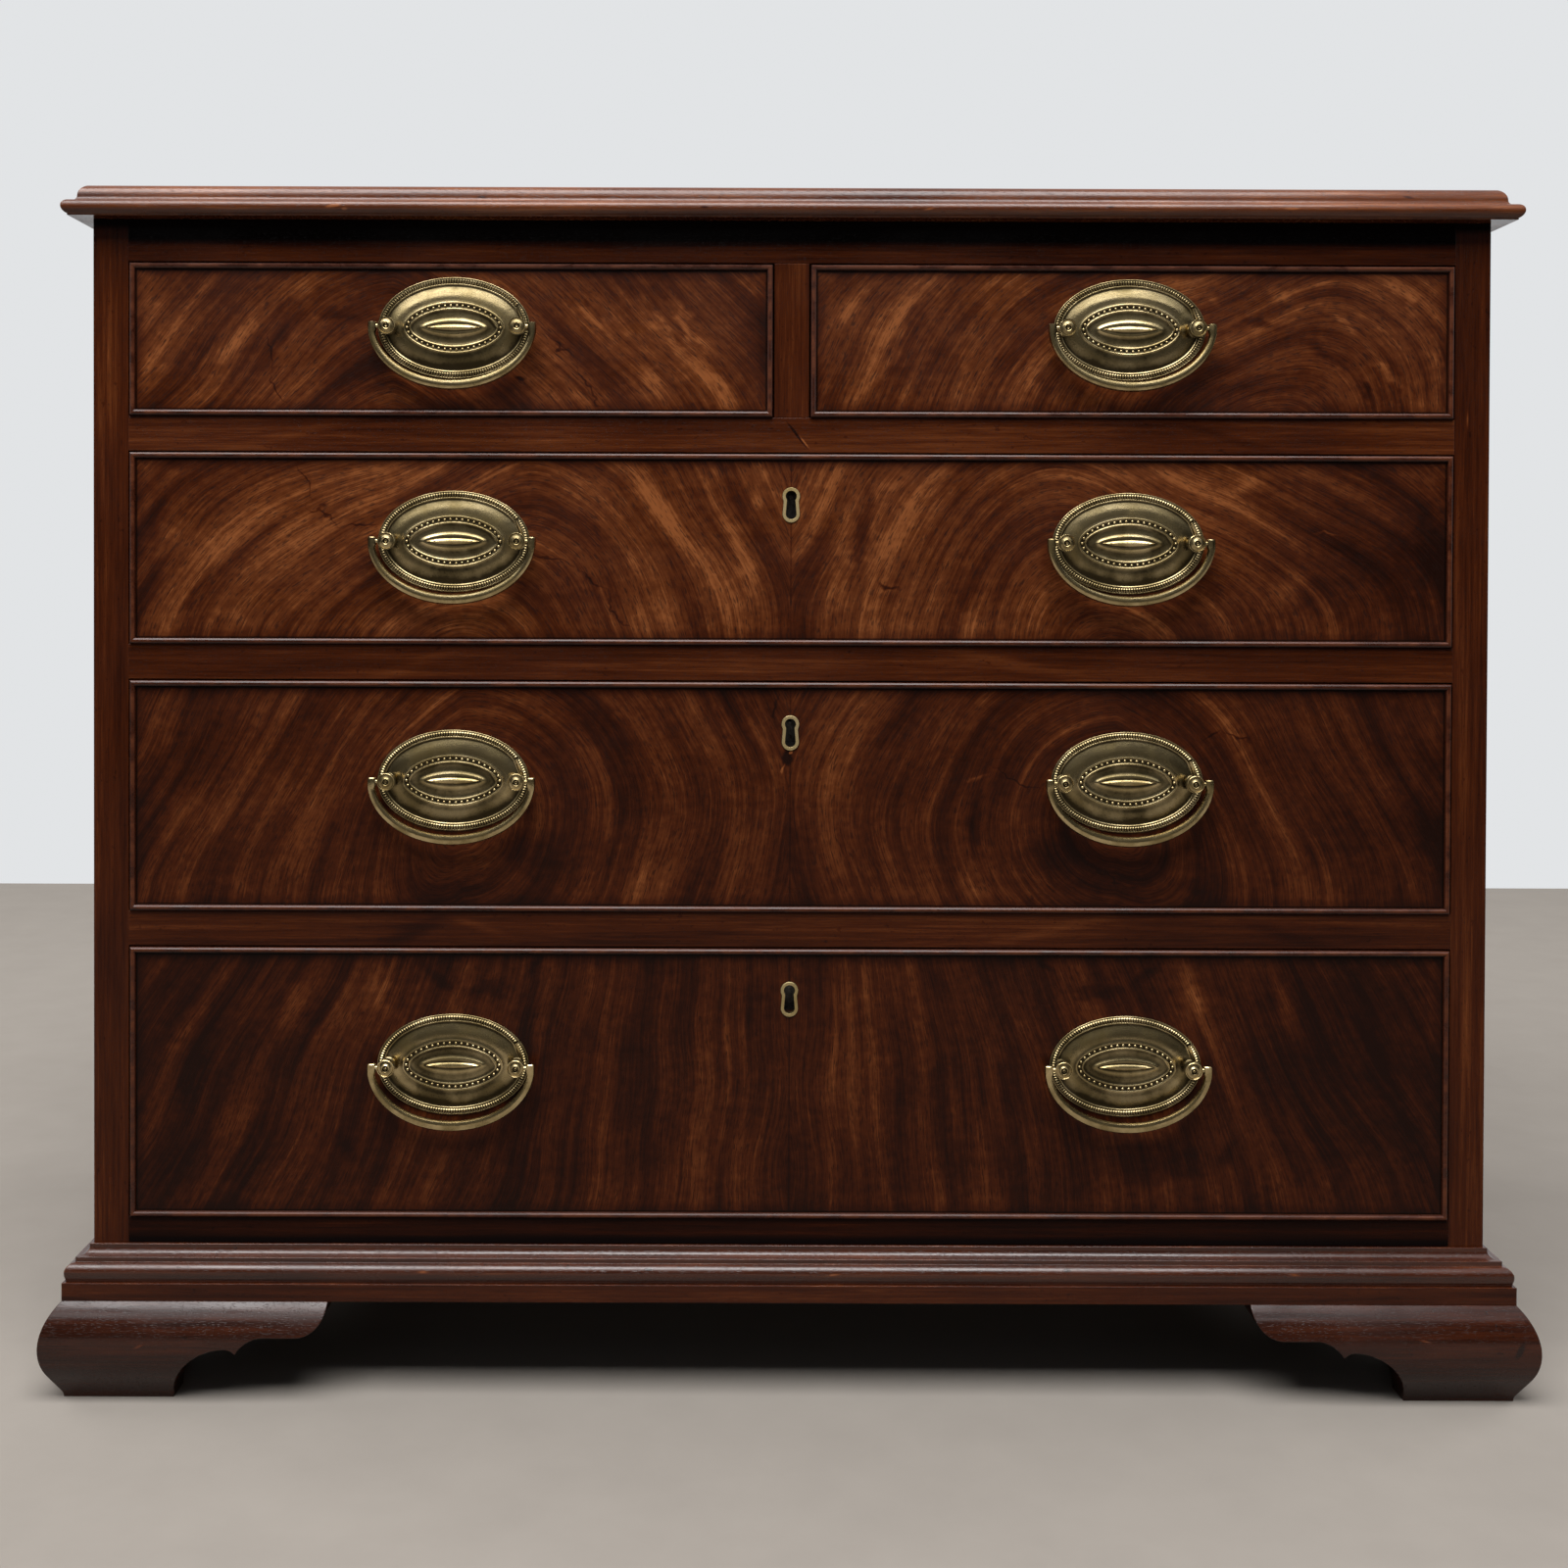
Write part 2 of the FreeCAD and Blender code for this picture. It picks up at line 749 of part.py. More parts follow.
def make_feet():
    side = foot_bracket("front_foot_side", 1)
    move(side, "-half_width", "front + foot_length", "0", FACE_LEFT)
    face = mirror("front_foot_face", side, V(1, -1, 0), ("-half_width", "front", "0"))
    block = foot_block("front_foot_block", ("front + foot_inset", "front + foot_inset + foot_block"))
    left = group("front_foot", [side, face, block])
    subpart(left, "foot_front_left")
    subpart(mirror("front_foot_right", left), "foot_front_right")

    side = foot_bracket("rear_foot_side", 0)
    move(side, "half_width", "back - foot_length", "0", FACE_RIGHT)
    inner = "(half_width - foot_inset)"
    behind = [
        (inner, "0"),
        (inner, "foot_height"),
        (f"{inner} - rear_bracket_length", "foot_height"),
        (f"{inner} - rear_bracket_length", "foot_height - bracket_edge"),
        (f"{inner} - bracket_leg", "0"),
    ]
    plain = new_body("rear_foot_back")
    pad(plain, sketch(plain, "XZ", "outline", [behind], offset="-back"), "rear_bracket_thickness")
    near = "back - rear_bracket_thickness"
    block = mirror("rear_foot_block", foot_block("rear_foot_block_left", (f"{near} - foot_block", near)))
    right = group("rear_foot", [side, plain, block])
    subpart(mirror("rear_foot_left", right), "foot_rear_left")
    subpart(right, "foot_rear_right")


# ---- drawers: each is drawn with its face on y = 0 and its lower edge on z = 0 ----


def tail(base, tip, centre, half):
    """The outline of one dovetail, from its narrow base to its wide tip, across Y and Z."""
    flare = f"({half} + abs({tip} - ({base})) / tail_slope)"
    return [
        (base, f"{centre} - {half}"),
        (tip, f"{centre} - {flare}"),
        (tip, f"{centre} + {flare}"),
        (base, f"{centre} + {half}"),
    ]


class Drawer:
    """Names and derived sizes of one drawer."""

    def __init__(self, name, row, opening, handles):
        self.name = f"drawer_{name}"
        self.short_name = name
        self.row = row
        self.centre, self.half_opening = opening
        self.handles = handles
        self.locked = row != "short"
        self.own = f"{self.name}_sizes"
        value_set(self.own, {
            "half": f"{self.half_opening} - drawer_gap",
            "height": f"{row}_height - drawer_gap - running_gap",
            "side": f"{self.own}.height - side_drop",
            "tails": f"round({self.own}.side / tail_spacing)",
            "pitch": f"{self.own}.side / {self.own}.tails",
            "back_height": f"{self.own}.side - drawer_back_drop - drawer_back_floor",
            "back_tails": f"round({self.own}.back_height / tail_spacing)",
            "back_pitch": f"{self.own}.back_height / {self.own}.back_tails",
            "handle_level": f"{row}_handle_level - running_gap",
            "keyhole_level": f"{self.own}.height + drawer_gap - keyhole_drop",
        })
        self.half = f"{self.own}.half"
        self.height = f"{self.own}.height"
        self.side = f"{self.own}.side"
        self.keyhole = f"{self.own}.keyhole_level"

    def place(self, thing, x="0", y="0", z="0", turn=None):
        floor = f"{self.row}_floor + running_gap"
        return move(thing, f"{self.centre} + {x}", f"front + {y}", f"{floor} + {z}", turn)

    def front_tail(self):
        own = self.own
        return tail(
            "front_thickness", "(front_thickness - tail_length)", f"{own}.pitch / 2",
            f"({own}.pitch - pin_width) / 2",
        ), f"{own}.pitch", f"{own}.tails"

    def back_tail(self):
        own = self.own
        return tail(
            "drawer_back_face", "drawer_length", f"(drawer_back_floor + {own}.back_pitch / 2)",
            f"({own}.back_pitch - pin_width) / 2",
        ), f"{own}.back_pitch", f"{own}.back_tails"


def cut_sockets(body, half, outline, pitch, count):
    """A row of dovetail sockets in each end of a board, as deep as the side that fits them."""
    for name, plane, reverse in (("right", half, False), ("left", f"-{half}", True)):
        profile = sketch(body, "YZ", f"socket_{name}", [outline], offset=plane)
        socket = pocket(body, profile, "drawer_side_thickness", reverse=reverse)
        repeat_up(body, socket, profile, pitch, count)


def keyhole(margin, level):
    """A keyhole: a round head over a waist that flares to a round foot. A margin makes it larger."""
    waist = f"(keyhole_waist / 2 + {margin})"
    foot = f"(keyhole_flare / 2 + {margin})"
    top = f"({level} + keyhole_top + {margin})"
    radius = f"(keyhole_head / 2 + {margin})"
    shoulder = f"({top} - {radius} - sqrt({radius} ^ 2 - {waist} ^ 2))"
    bottom = f"({level} - keyhole_top - {margin})"
    foot_level = f"({bottom} + {foot})"
    return [
        (f"-{foot}", foot_level, "plumb_end"),
        ("0", bottom, "plumb_start"),
        (foot, foot_level),
        (waist, shoulder, "plumb_end"),
        ("0", top, "plumb_start"),
        (f"-{waist}", shoulder),
    ]


def key_slot(level):
    """The plain slot behind a keyhole, in the wood and in the lock."""
    half = "keyhole_flare / 2"
    return rectangle((f"-{half}", half), (f"{level} - keyhole_top", f"{level} + keyhole_top"))


def frame(half, height, inset):
    """A rectangle that keeps the same distance from all four edges of a drawer's face."""
    return rectangle((f"-{half} + {inset}", f"{half} - ({inset})"), (inset, f"{height} - ({inset})"))


def make_drawer_front(drawer):
    body = new_body(f"{drawer.name}_front")
    half = drawer.half
    height = drawer.height
    outline = rectangle((f"-{half}", half), ("0", height))
    pad(body, sketch(body, "XZ", "outline", [outline]), "front_thickness", reverse=True)
    rebate = [frame(half, height, "-cut_over"), frame(half, height, "bead_thickness")]
    pocket(body, sketch(body, "XZ", "bead_rebate", rebate), "bead_seat")
    inside = f"({half} - drawer_side_thickness + drawer_groove)"
    reach = ("front_thickness - drawer_groove", "front_thickness + cut_over")
    groove = rectangle(reach, ("drawer_bottom_lift", "drawer_back_floor"))
    pocket(body, sketch(body, "YZ", "groove", [groove]), f"2 * {inside}", both_ways=True)
    holes = [
        square(f"{x} - ({drawer.centre}) {sign} half_bore", f"{drawer.own}.handle_level", SHANK_HOLE)
        for x in drawer.handles.values()
        for sign in "-+"
    ]
    pocket(body, sketch(body, "XZ", "shank_holes", holes), "front_thickness + cut_over")
    if drawer.locked:
        cut_lock_seat(body, drawer)
    cut_sockets(body, half, *drawer.front_tail())
    drawer.place(body)
    subpart(body, body.Name)


def cut_lock_seat(body, drawer):
    """The keyhole, the recess of its escutcheon and the seat of the lock behind them."""
    hole = key_slot(drawer.keyhole)
    pocket(body, sketch(body, "XZ", "key_slot", [hole]), "front_thickness + cut_over")
    rim = keyhole("(escutcheon_wall + escutcheon_clearance)", drawer.keyhole)
    pocket(body, sketch(body, "XZ", "escutcheon_recess", [rim]), "escutcheon_depth")
    for name, width, floor, depth in (
        ("case", "lock_width", "lock_height", "lock_thickness"),
        ("selvedge", "selvedge_width", "selvedge_thickness", "selvedge_depth"),
    ):
        level = (f"{drawer.height} - {floor}", f"{drawer.height} + cut_over")
        seat = rectangle((f"-{width} / 2", f"{width} / 2"), level)
        profile = sketch(body, "XZ", f"{name}_seat", [seat], offset="-front_thickness")
        pocket(body, profile, depth, reverse=True)


def make_drawer_box(drawer):
    """Two sides dovetailed to the front and to the back, and the bottom in their grooves."""
    half = drawer.half
    body = new_body(f"{drawer.name}_side")
    outline = [
        ("front_thickness", "0"),
        ("drawer_length", "0"),
        ("drawer_length", "drawer_back_floor"),
        ("drawer_back_face", "drawer_back_floor"),
        ("drawer_back_face", drawer.side),
        ("front_thickness", drawer.side),
    ]
    outer = f"-{half}"
    pad(body, sketch(body, "YZ", "outline", [outline], offset=outer), "drawer_side_thickness")
    for name, tails in (("front_tail", drawer.front_tail()), ("back_tail", drawer.back_tail())):
        shape, pitch, count = tails
        profile = sketch(body, "YZ", name, [shape], offset=outer)
        first = pad(body, profile, "drawer_side_thickness")
        repeat_up(body, first, profile, pitch, count)
    reach = ("front_thickness - drawer_groove", "drawer_length + cut_over")
    groove = rectangle(reach, ("drawer_bottom_lift", "drawer_back_floor"))
    profile = sketch(body, "YZ", "groove", [groove], offset=f"{outer} + drawer_side_thickness")
    pocket(body, profile, "drawer_groove")

    back = new_body(f"{drawer.name}_back")
    level = ("drawer_back_floor", f"{drawer.side} - drawer_back_drop")
    outline = rectangle((f"-{half}", half), level)
    profile = sketch(back, "XZ", "outline", [outline], offset="-drawer_length")
    pad(back, profile, "drawer_back_thickness")
    cut_sockets(back, half, *drawer.back_tail())
    box = group(f"{drawer.name}_carcase", [body, mirror(f"{drawer.name}_side_right", body), back])
    drawer.place(box)
    subpart(box, f"{drawer.name}_box")

    inside = f"({half} - drawer_side_thickness + drawer_groove)"
    level = f"{drawer.row}_floor + running_gap"
    bottom = board(
        f"{drawer.name}_bottom",
        (f"{drawer.centre} - {inside}", f"{drawer.centre} + {inside}"),
        ("front + front_thickness - drawer_groove", "front + drawer_length"),
        (f"{level} + drawer_bottom_lift", f"{level} + drawer_back_floor"),
    )
    subpart(bottom, bottom.Name)


def make_cockbead(drawer):
    """Four rounded strips in the rebate of the drawer front, mitred at its corners."""
    nose = [
        (f"{y} - bead_thickness / 2", f"bead_proud - bead_thickness / 2 - ({z})")
        for y, z in facets("bead_thickness", "bead_thickness", 10, 0.5)
    ]
    section = [("0", "-bead_seat"), ("-bead_thickness", "-bead_seat")] + nose
    name = f"{drawer.name}_bead"
    width = f"2 * ({drawer.half} - bead_thickness)"
    height = f"({drawer.height} - 2 * bead_thickness)"
    long = moulded_length(f"{name}_bottom", section, width, 2, "bead_thickness")
    move(long, z="bead_thickness", turn=FACE_FORWARD)
    tall = moulded_length(f"{name}_left", section, height, 2, "bead_thickness")
    upright = FreeCAD.Rotation(V(0, 0, -1), V(1, 0, 0), V(0, -1, 0))
    move(tall, x=f"-{drawer.half} + bead_thickness", z=f"{drawer.height} / 2", turn=upright)
    over = mirror(f"{name}_top", long, V(0, 0, 1), ("0", "0", f"{drawer.height} / 2"))
    strips = group(f"{name}s", [long, over, tall, mirror(f"{name}_right", tall)])
    drawer.place(strips)
    subpart(strips, f"{drawer.name}_cockbead")


# ---- brasses: each is drawn facing up, with its back on z = 0, and turned to face the front ----


SHANK_HOLE = "shank_width + 2 * shank_clearance"


def rise(body, name, loops, low, high):
    """Pad an outline from one level to another."""
    return pad(body, sketch(body, "XY", name, loops, offset=low), f"{high} - ({low})")


def bevel(body, source, level, height, width):
    """Bevel the edges that bound the top of a pad, by a height and a width."""
    doc.recompute()
    edges = [
        f"Edge{index}"
        for index, edge in enumerate(source.Shape.Edges, start=1)
        if edge.BoundBox.ZMin > number(level) - 1e-3
    ]
    made = body.newObject("PartDesign::Chamfer", f"{source.Name}_bevel")
    made.Base = (source, edges)
    made.ChamferType = "Two distances"
    bind(made, "Size", height)
    bind(made, "Size2", width)


def make_plate():
    """An oval stamped plate: a flat rim and a raised dome."""
    body = new_body("plate")
    outline = facets("plate_width", "plate_height", 24)
    holes = [square(f"{sign}half_bore", "0", SHANK_HOLE) for sign in ("-", "")]
    rise(body, "rim", [outline] + holes, "0", "plate_thickness")
    crown = "plate_thickness + dome_rise"
    dome = rise(body, "dome", [facets("dome_width", "dome_height", 16)], "plate_thickness", crown)
    bevel(body, dome, crown, "dome_bevel_height", "dome_bevel_width")
    return body


def make_post():
    """A post: a square shank, a neck, and a bevelled head bored for the bail's pins."""
    body = new_body("post")
    tail = "-(front_thickness + nut_thickness + shank_end)"
    low = "pivot_reach - post_head_low"
    high = "pivot_reach + post_head_high"
    rise(body, "shank", [square("0", "0", "shank_width")], tail, "plate_thickness")
    neck = facets("post_neck_width", "post_neck_width", 8, over=True)
    rise(body, "neck", [neck], "plate_thickness", low)
    outline = facets("post_head_width", "post_head_width", 8, over=True)
    head = rise(body, "head", [outline], low, high)
    bevel(body, head, high, "post_head_bevel", "post_head_bevel")
    width = "(pin_diameter + 2 * pin_clearance)"
    bore = [(x, f"{y} + pivot_reach") for x, y in facets(width, width, 8, over=True)]
    pocket(body, sketch(body, "YZ", "pin_bore", [bore]), "2 * post_head_width", both_ways=True)
    return body


def make_nut():
    body = new_body("nut")
    loops = [square("0", "0", "nut_width"), square("0", "0", SHANK_HOLE)]
    rise(body, "outline", loops, "-front_thickness - nut_thickness", "-front_thickness")
    return body


def make_handle_set():
    """One plate with its two posts and their nuts, as a group to be copied."""
    members = [make_plate()]
    for master in (make_post(), make_nut()):
        for side, sign in (("left", "-"), ("right", "")):
            copied = copy_of(f"{master.Name}_{side}", master)
            members.append(move(copied, f"{sign}half_bore"))
    return group("handle_set", members)


def make_bail():
    """A cast bail: a crescent that is thickest at the grip, square heads, and two inward pins."""
    body = new_body("bail")
    crescent = facets("bail_width", "(2 * bail_drop)", 32, 0.5)
    hollow = facets("(bail_width - 2 * bail_arm)", "(2 * (bail_drop - bail_bar))", 32, 0.5)
    profile = sketch(body, "XZ", "crescent", [crescent + hollow[::-1]])
    pad(body, profile, "bail_thickness", both_ways=True)
    head = rectangle(("bail_face", "bail_half"), ("-bail_head_drop", "bail_horn"))
    other = [(f"-{x}", z) for x, z in head]
    pad(body, sketch(body, "XZ", "heads", [head, other]), "bail_thickness", both_ways=True)
    pin = facets("pin_diameter", "pin_diameter", 8)
    for side, sign in (("right", ""), ("left", "-")):
        profile = sketch(body, "YZ", f"pin_{side}", [pin], offset=f"{sign}bail_pin_end")
        pad(body, profile, "bail_face + bail_arm / 2 - bail_pin_end", reverse=side == "left")
    return body


def make_escutcheon():
    """A thread escutcheon: a brass ring let in round the keyhole."""
    body = new_body("escutcheon")
    ring = [keyhole("escutcheon_wall", "0"), keyhole("0", "0")]
    rise(body, "ring", ring, "-escutcheon_depth", "escutcheon_proud")
    return body


def make_lock():
    """A drawer lock with its origin at the face and the top edge of the drawer front."""
    body = new_body("lock")
    half = "lock_width / 2"
    lip = "selvedge_width / 2"
    near = "(front_thickness - lock_thickness)"
    channel = "(bolt_thickness / 2 + bolt_clearance)"
    plate = rectangle((f"-{lip}", lip), ("front_thickness - selvedge_depth", "front_thickness"))
    pad(body, sketch(body, "XY", "selvedge", [plate]), "selvedge_thickness", reverse=True)
    case = rectangle((f"-{half}", half), (near, "front_thickness"))
    pad(body, sketch(body, "XY", "case", [case]), "lock_height", reverse=True)
    slot = rectangle(
        ("-bolt_width / 2 - bolt_clearance", "bolt_width / 2 + bolt_clearance"),
        (f"bolt_line - {channel}", f"bolt_line + {channel}"),
    )
    pocket(body, sketch(body, "XY", "channel", [slot]), "lock_height - lock_wall")
    middle = "(drawer_gap - keyhole_drop)"
    pocket(body, sketch(body, "XZ", "key_slot", [key_slot(middle)]), "bolt_line")
    level = f"{middle} + keyhole_head_level"
    outline = [(x, f"{y} + {level}") for x, y in facets("key_pin_diameter", "key_pin_diameter", 8)]
    rear = f"(bolt_line + {channel})"
    pin = sketch(body, "XZ", "key_pin", [outline], offset=f"-{rear}")
    pad(body, pin, f"{rear} - {near} - bolt_clearance")
    return body


def make_brasses(drawers):
    handle_set = make_handle_set()
    bail = make_bail()
    escutcheon = make_escutcheon()
    lock = make_lock()
    for drawer in drawers:
        level = f"{drawer.own}.handle_level"
        sets = []
        for side, x in drawer.handles.items():
            across = f"{x} - ({drawer.centre})"
            one = copy_of(f"handle_{drawer.short_name}{side}", handle_set)
            sets.append(drawer.place(one, across, "0", level, FACE_FORWARD))
            hung = copy_of(f"bail_{drawer.short_name}{side}_copy", bail)
            drawer.place(hung, across, "-pivot_reach", level)
            subpart(group(f"bail_{drawer.short_name}{side}", [hung]), f"bail_{drawer.short_name}{side}")
        if drawer.locked:
            ring = copy_of(f"{drawer.name}_escutcheon", escutcheon)
            sets.append(drawer.place(ring, "0", "0", drawer.keyhole, FACE_FORWARD))
        subpart(group(f"{drawer.name}_handles", sets), f"{drawer.name}_brasses")
        if not drawer.locked:
            continue
        case = drawer.place(copy_of(f"{drawer.name}_lock_case", lock), "0", "0", drawer.height)
        subpart(group(f"{drawer.name}_lock_group", [case]), f"{drawer.name}_lock")
        top = f"{drawer.row}_floor + running_gap + {drawer.height} - bolt_sink"
        bolt = board(
            f"bolt_{drawer.short_name}",
            ("-bolt_width / 2", "bolt_width / 2"),
            ("front + bolt_line - bolt_thickness / 2", "front + bolt_line + bolt_thickness / 2"),
            (f"{top} - bolt_height", top),
        )
        subpart(bolt, bolt.Name)


def check():
    """Stop if anything failed, if a cut took nothing away, or if a sub-part isn't sound."""
    for thing in doc.Objects:
        if "Invalid" in thing.State or "Error" in thing.State:
            raise RuntimeError(f"{thing.Name} failed: {thing.State}")
        if thing.TypeId == "PartDesign::Pocket":
            before = thing.BaseFeature.Shape.Volume
            if thing.Shape.Volume > before - 1e-3:
                raise RuntimeError(f"{thing.Name} cuts nothing")
    for thing in subparts:
        if thing.Shape.isNull() or not thing.Shape.isValid():
            raise RuntimeError(f"{thing.Label} has no valid shape")


make_top()
make_sides()
make_stiles()
make_rails()
make_divider()
make_runners()
make_dustboards()
make_floor_and_back()
make_stops()
make_base()
make_feet()
drawers = [Drawer(*entry) for entry in DRAWERS]
doc.recompute()
for drawer in drawers:
    make_drawer_front(drawer)
    make_drawer_box(drawer)
    make_cockbead(drawer)
make_brasses(drawers)
doc.recompute()
check()
os.makedirs("parts", exist_ok=True)
for thing in subparts:
    thing.Shape.exportStep(f"parts/{thing.Label}.step")
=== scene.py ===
import math
from dataclasses import dataclass

import bmesh
import bpy
from mathutils import Matrix, Vector


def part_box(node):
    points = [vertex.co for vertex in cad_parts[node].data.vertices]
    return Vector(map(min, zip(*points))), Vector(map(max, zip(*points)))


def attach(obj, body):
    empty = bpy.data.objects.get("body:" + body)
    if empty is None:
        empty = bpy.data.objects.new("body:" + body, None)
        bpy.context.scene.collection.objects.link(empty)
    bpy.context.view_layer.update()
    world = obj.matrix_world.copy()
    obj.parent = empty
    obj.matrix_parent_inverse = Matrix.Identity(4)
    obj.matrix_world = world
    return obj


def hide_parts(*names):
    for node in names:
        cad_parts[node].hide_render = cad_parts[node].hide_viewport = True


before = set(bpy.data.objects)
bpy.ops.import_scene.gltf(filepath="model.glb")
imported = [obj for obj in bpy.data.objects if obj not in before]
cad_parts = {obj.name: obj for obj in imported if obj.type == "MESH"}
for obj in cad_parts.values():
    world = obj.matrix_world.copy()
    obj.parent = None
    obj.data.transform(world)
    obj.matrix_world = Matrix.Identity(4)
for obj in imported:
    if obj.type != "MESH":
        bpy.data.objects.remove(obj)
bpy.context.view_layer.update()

bl_info = {
    "name": "Bachelors chest",
    "version": (1, 0, 0),
    "blender": (4, 5, 0),
    "location": "View3D > Sidebar > Chest",
    "description": "Finishes, brasses and stage for a small Georgian mahogany chest of drawers",
    "category": "Object",
}

MM = 0.001

# The face of the drawers, how far the pivots of the bails stand off it, and half the way between
# the two posts of a handle, in millimetres.
FRONT = -225.75
PIVOT_LIFT = 10.0
HALF_BORE = 44.45


@dataclass
class Row:
    """One drawer: the middle and half width of its face, its levels, and where its handles are."""

    name: str
    middle: float
    half: float
    floor: float
    height: float
    handles: dict
    handle_level: float
    locked: bool

    @property
    def node(self):
        return f"drawer_{self.name}"

    @property
    def body(self):
        return f"{self.name}_drawer"


PAIR = {"_left": -232.0, "_right": 232.0}
ROWS = (
    Row("short_left", -234.0, 221.0, 671.3, 104.7, {"": -232.0}, 731.8, False),
    Row("short_right", 234.0, 221.0, 671.3, 104.7, {"": 232.0}, 731.8, False),
    Row("upper", 0.0, 455.0, 514.3, 131.7, PAIR, 585.2, True),
    Row("middle", 0.0, 455.0, 330.3, 158.7, PAIR, 420.7, True),
    Row("lower", 0.0, 455.0, 118.3, 186.7, PAIR, 224.5, True),
)


# ---- settings


def number_setting(name, description, default, **kind):
    return bpy.props.FloatProperty(name=name, description=description, default=default, **kind)


def colour_setting(name, description, default):
    return bpy.props.FloatVectorProperty(
        name=name, description=description, default=default, subtype="COLOR"
    )


def count_setting(name, description, default, least):
    return bpy.props.IntProperty(name=name, description=description, default=default, min=least)


class StageSettings(bpy.types.PropertyGroup):
    """Camera, floor and light"""

    camera_place: bpy.props.FloatVectorProperty(
        name="Camera place",
        description="Where the camera stands",
        default=(-0.0386, -1.42525, 0.562),
        subtype="TRANSLATION",
        unit="LENGTH",
    )
    lens: number_setting("Lens", "Focal length in millimetres", 39.997, unit="CAMERA")
    tilt: number_setting(
        "Tilt", "How far the camera looks down", math.radians(0.637), subtype="ANGLE"
    )
    roll: number_setting(
        "Roll", "How far the camera leans to one side", math.radians(0.191), subtype="ANGLE"
    )
    shift: bpy.props.FloatVectorProperty(
        name="Shift",
        description="Shift of the frame, as shares of its width",
        default=(0.03138, -0.12024),
        size=2,
    )
    floor_end: number_setting(
        "Floor end", "Where the floor ends behind the chest", 1.73, unit="LENGTH"
    )
    floor_colour: colour_setting("Floor", "Colour of the floor", (0.30, 0.27, 0.24))
    backdrop_colour: colour_setting("Backdrop", "Colour of the backdrop", (0.76, 0.775, 0.79))
    fill_light: number_setting(
        "Fill light", "How much light comes from all round", 0.08, min=0.0
    )
    soft_light: number_setting(
        "Soft light", "Power of the large lamp overhead", 165.0, unit="POWER"
    )
    side_light: number_setting(
        "Side light", "Power of the lamps at the sides and behind", 40.0, unit="POWER"
    )
    gleam_light: number_setting(
        "Gleam", "Power of the lamp that only the glosses show", 52.0, unit="POWER"
    )


class WoodColours(bpy.types.PropertyGroup):
    """Tones of the woods, from dark to light"""

    shadow: colour_setting("Shadow", "Darkest figure", (0.0130, 0.0038, 0.0022))
    deep: colour_setting("Deep", "Dark red brown", (0.0300, 0.0066, 0.0026))
    body: colour_setting("Body", "Middle red brown", (0.0640, 0.0138, 0.0040))
    flame: colour_setting("Flame", "Orange streaks", (0.1300, 0.0340, 0.0092))
    glow: colour_setting("Glow", "Lightest streaks", (0.2800, 0.0880, 0.0260))
    oak: colour_setting("Oak", "Aged oak of the linings", (0.26, 0.16, 0.085))


class BrassSettings(bpy.types.PropertyGroup):
    """Colours and sizes of the brasses"""

    metal: colour_setting("Metal", "Clean brass", (0.54, 0.43, 0.235))
    patina: colour_setting("Patina", "Tarnish in the hollows", (0.020, 0.015, 0.008))
    ridges: count_setting("Ridges", "Ridges round the border of a plate", 148, 24)
    beads: count_setting("Beads", "Beads round the middle of a plate", 38, 12)


# ---- shader steps


def sign(operation, swapped=False):
    """An arithmetic sign that adds a math node between two values, or a value and a number."""

    def apply(value, other):
        pair = (other, value) if swapped else (value, other)
        return value.finish.math(operation, *pair)

    return apply


class Value:
    """What a node of a finish works out. The usual signs work on it."""

    def __init__(self, finish, socket):
        self.finish = finish
        self.socket = socket

    __add__ = sign("ADD")
    __radd__ = sign("ADD", swapped=True)
    __sub__ = sign("SUBTRACT")
    __rsub__ = sign("SUBTRACT", swapped=True)
    __mul__ = sign("MULTIPLY")
    __truediv__ = sign("DIVIDE")
    __pow__ = sign("POWER")

    def __abs__(self):
        return self.finish.math("ABSOLUTE", self)


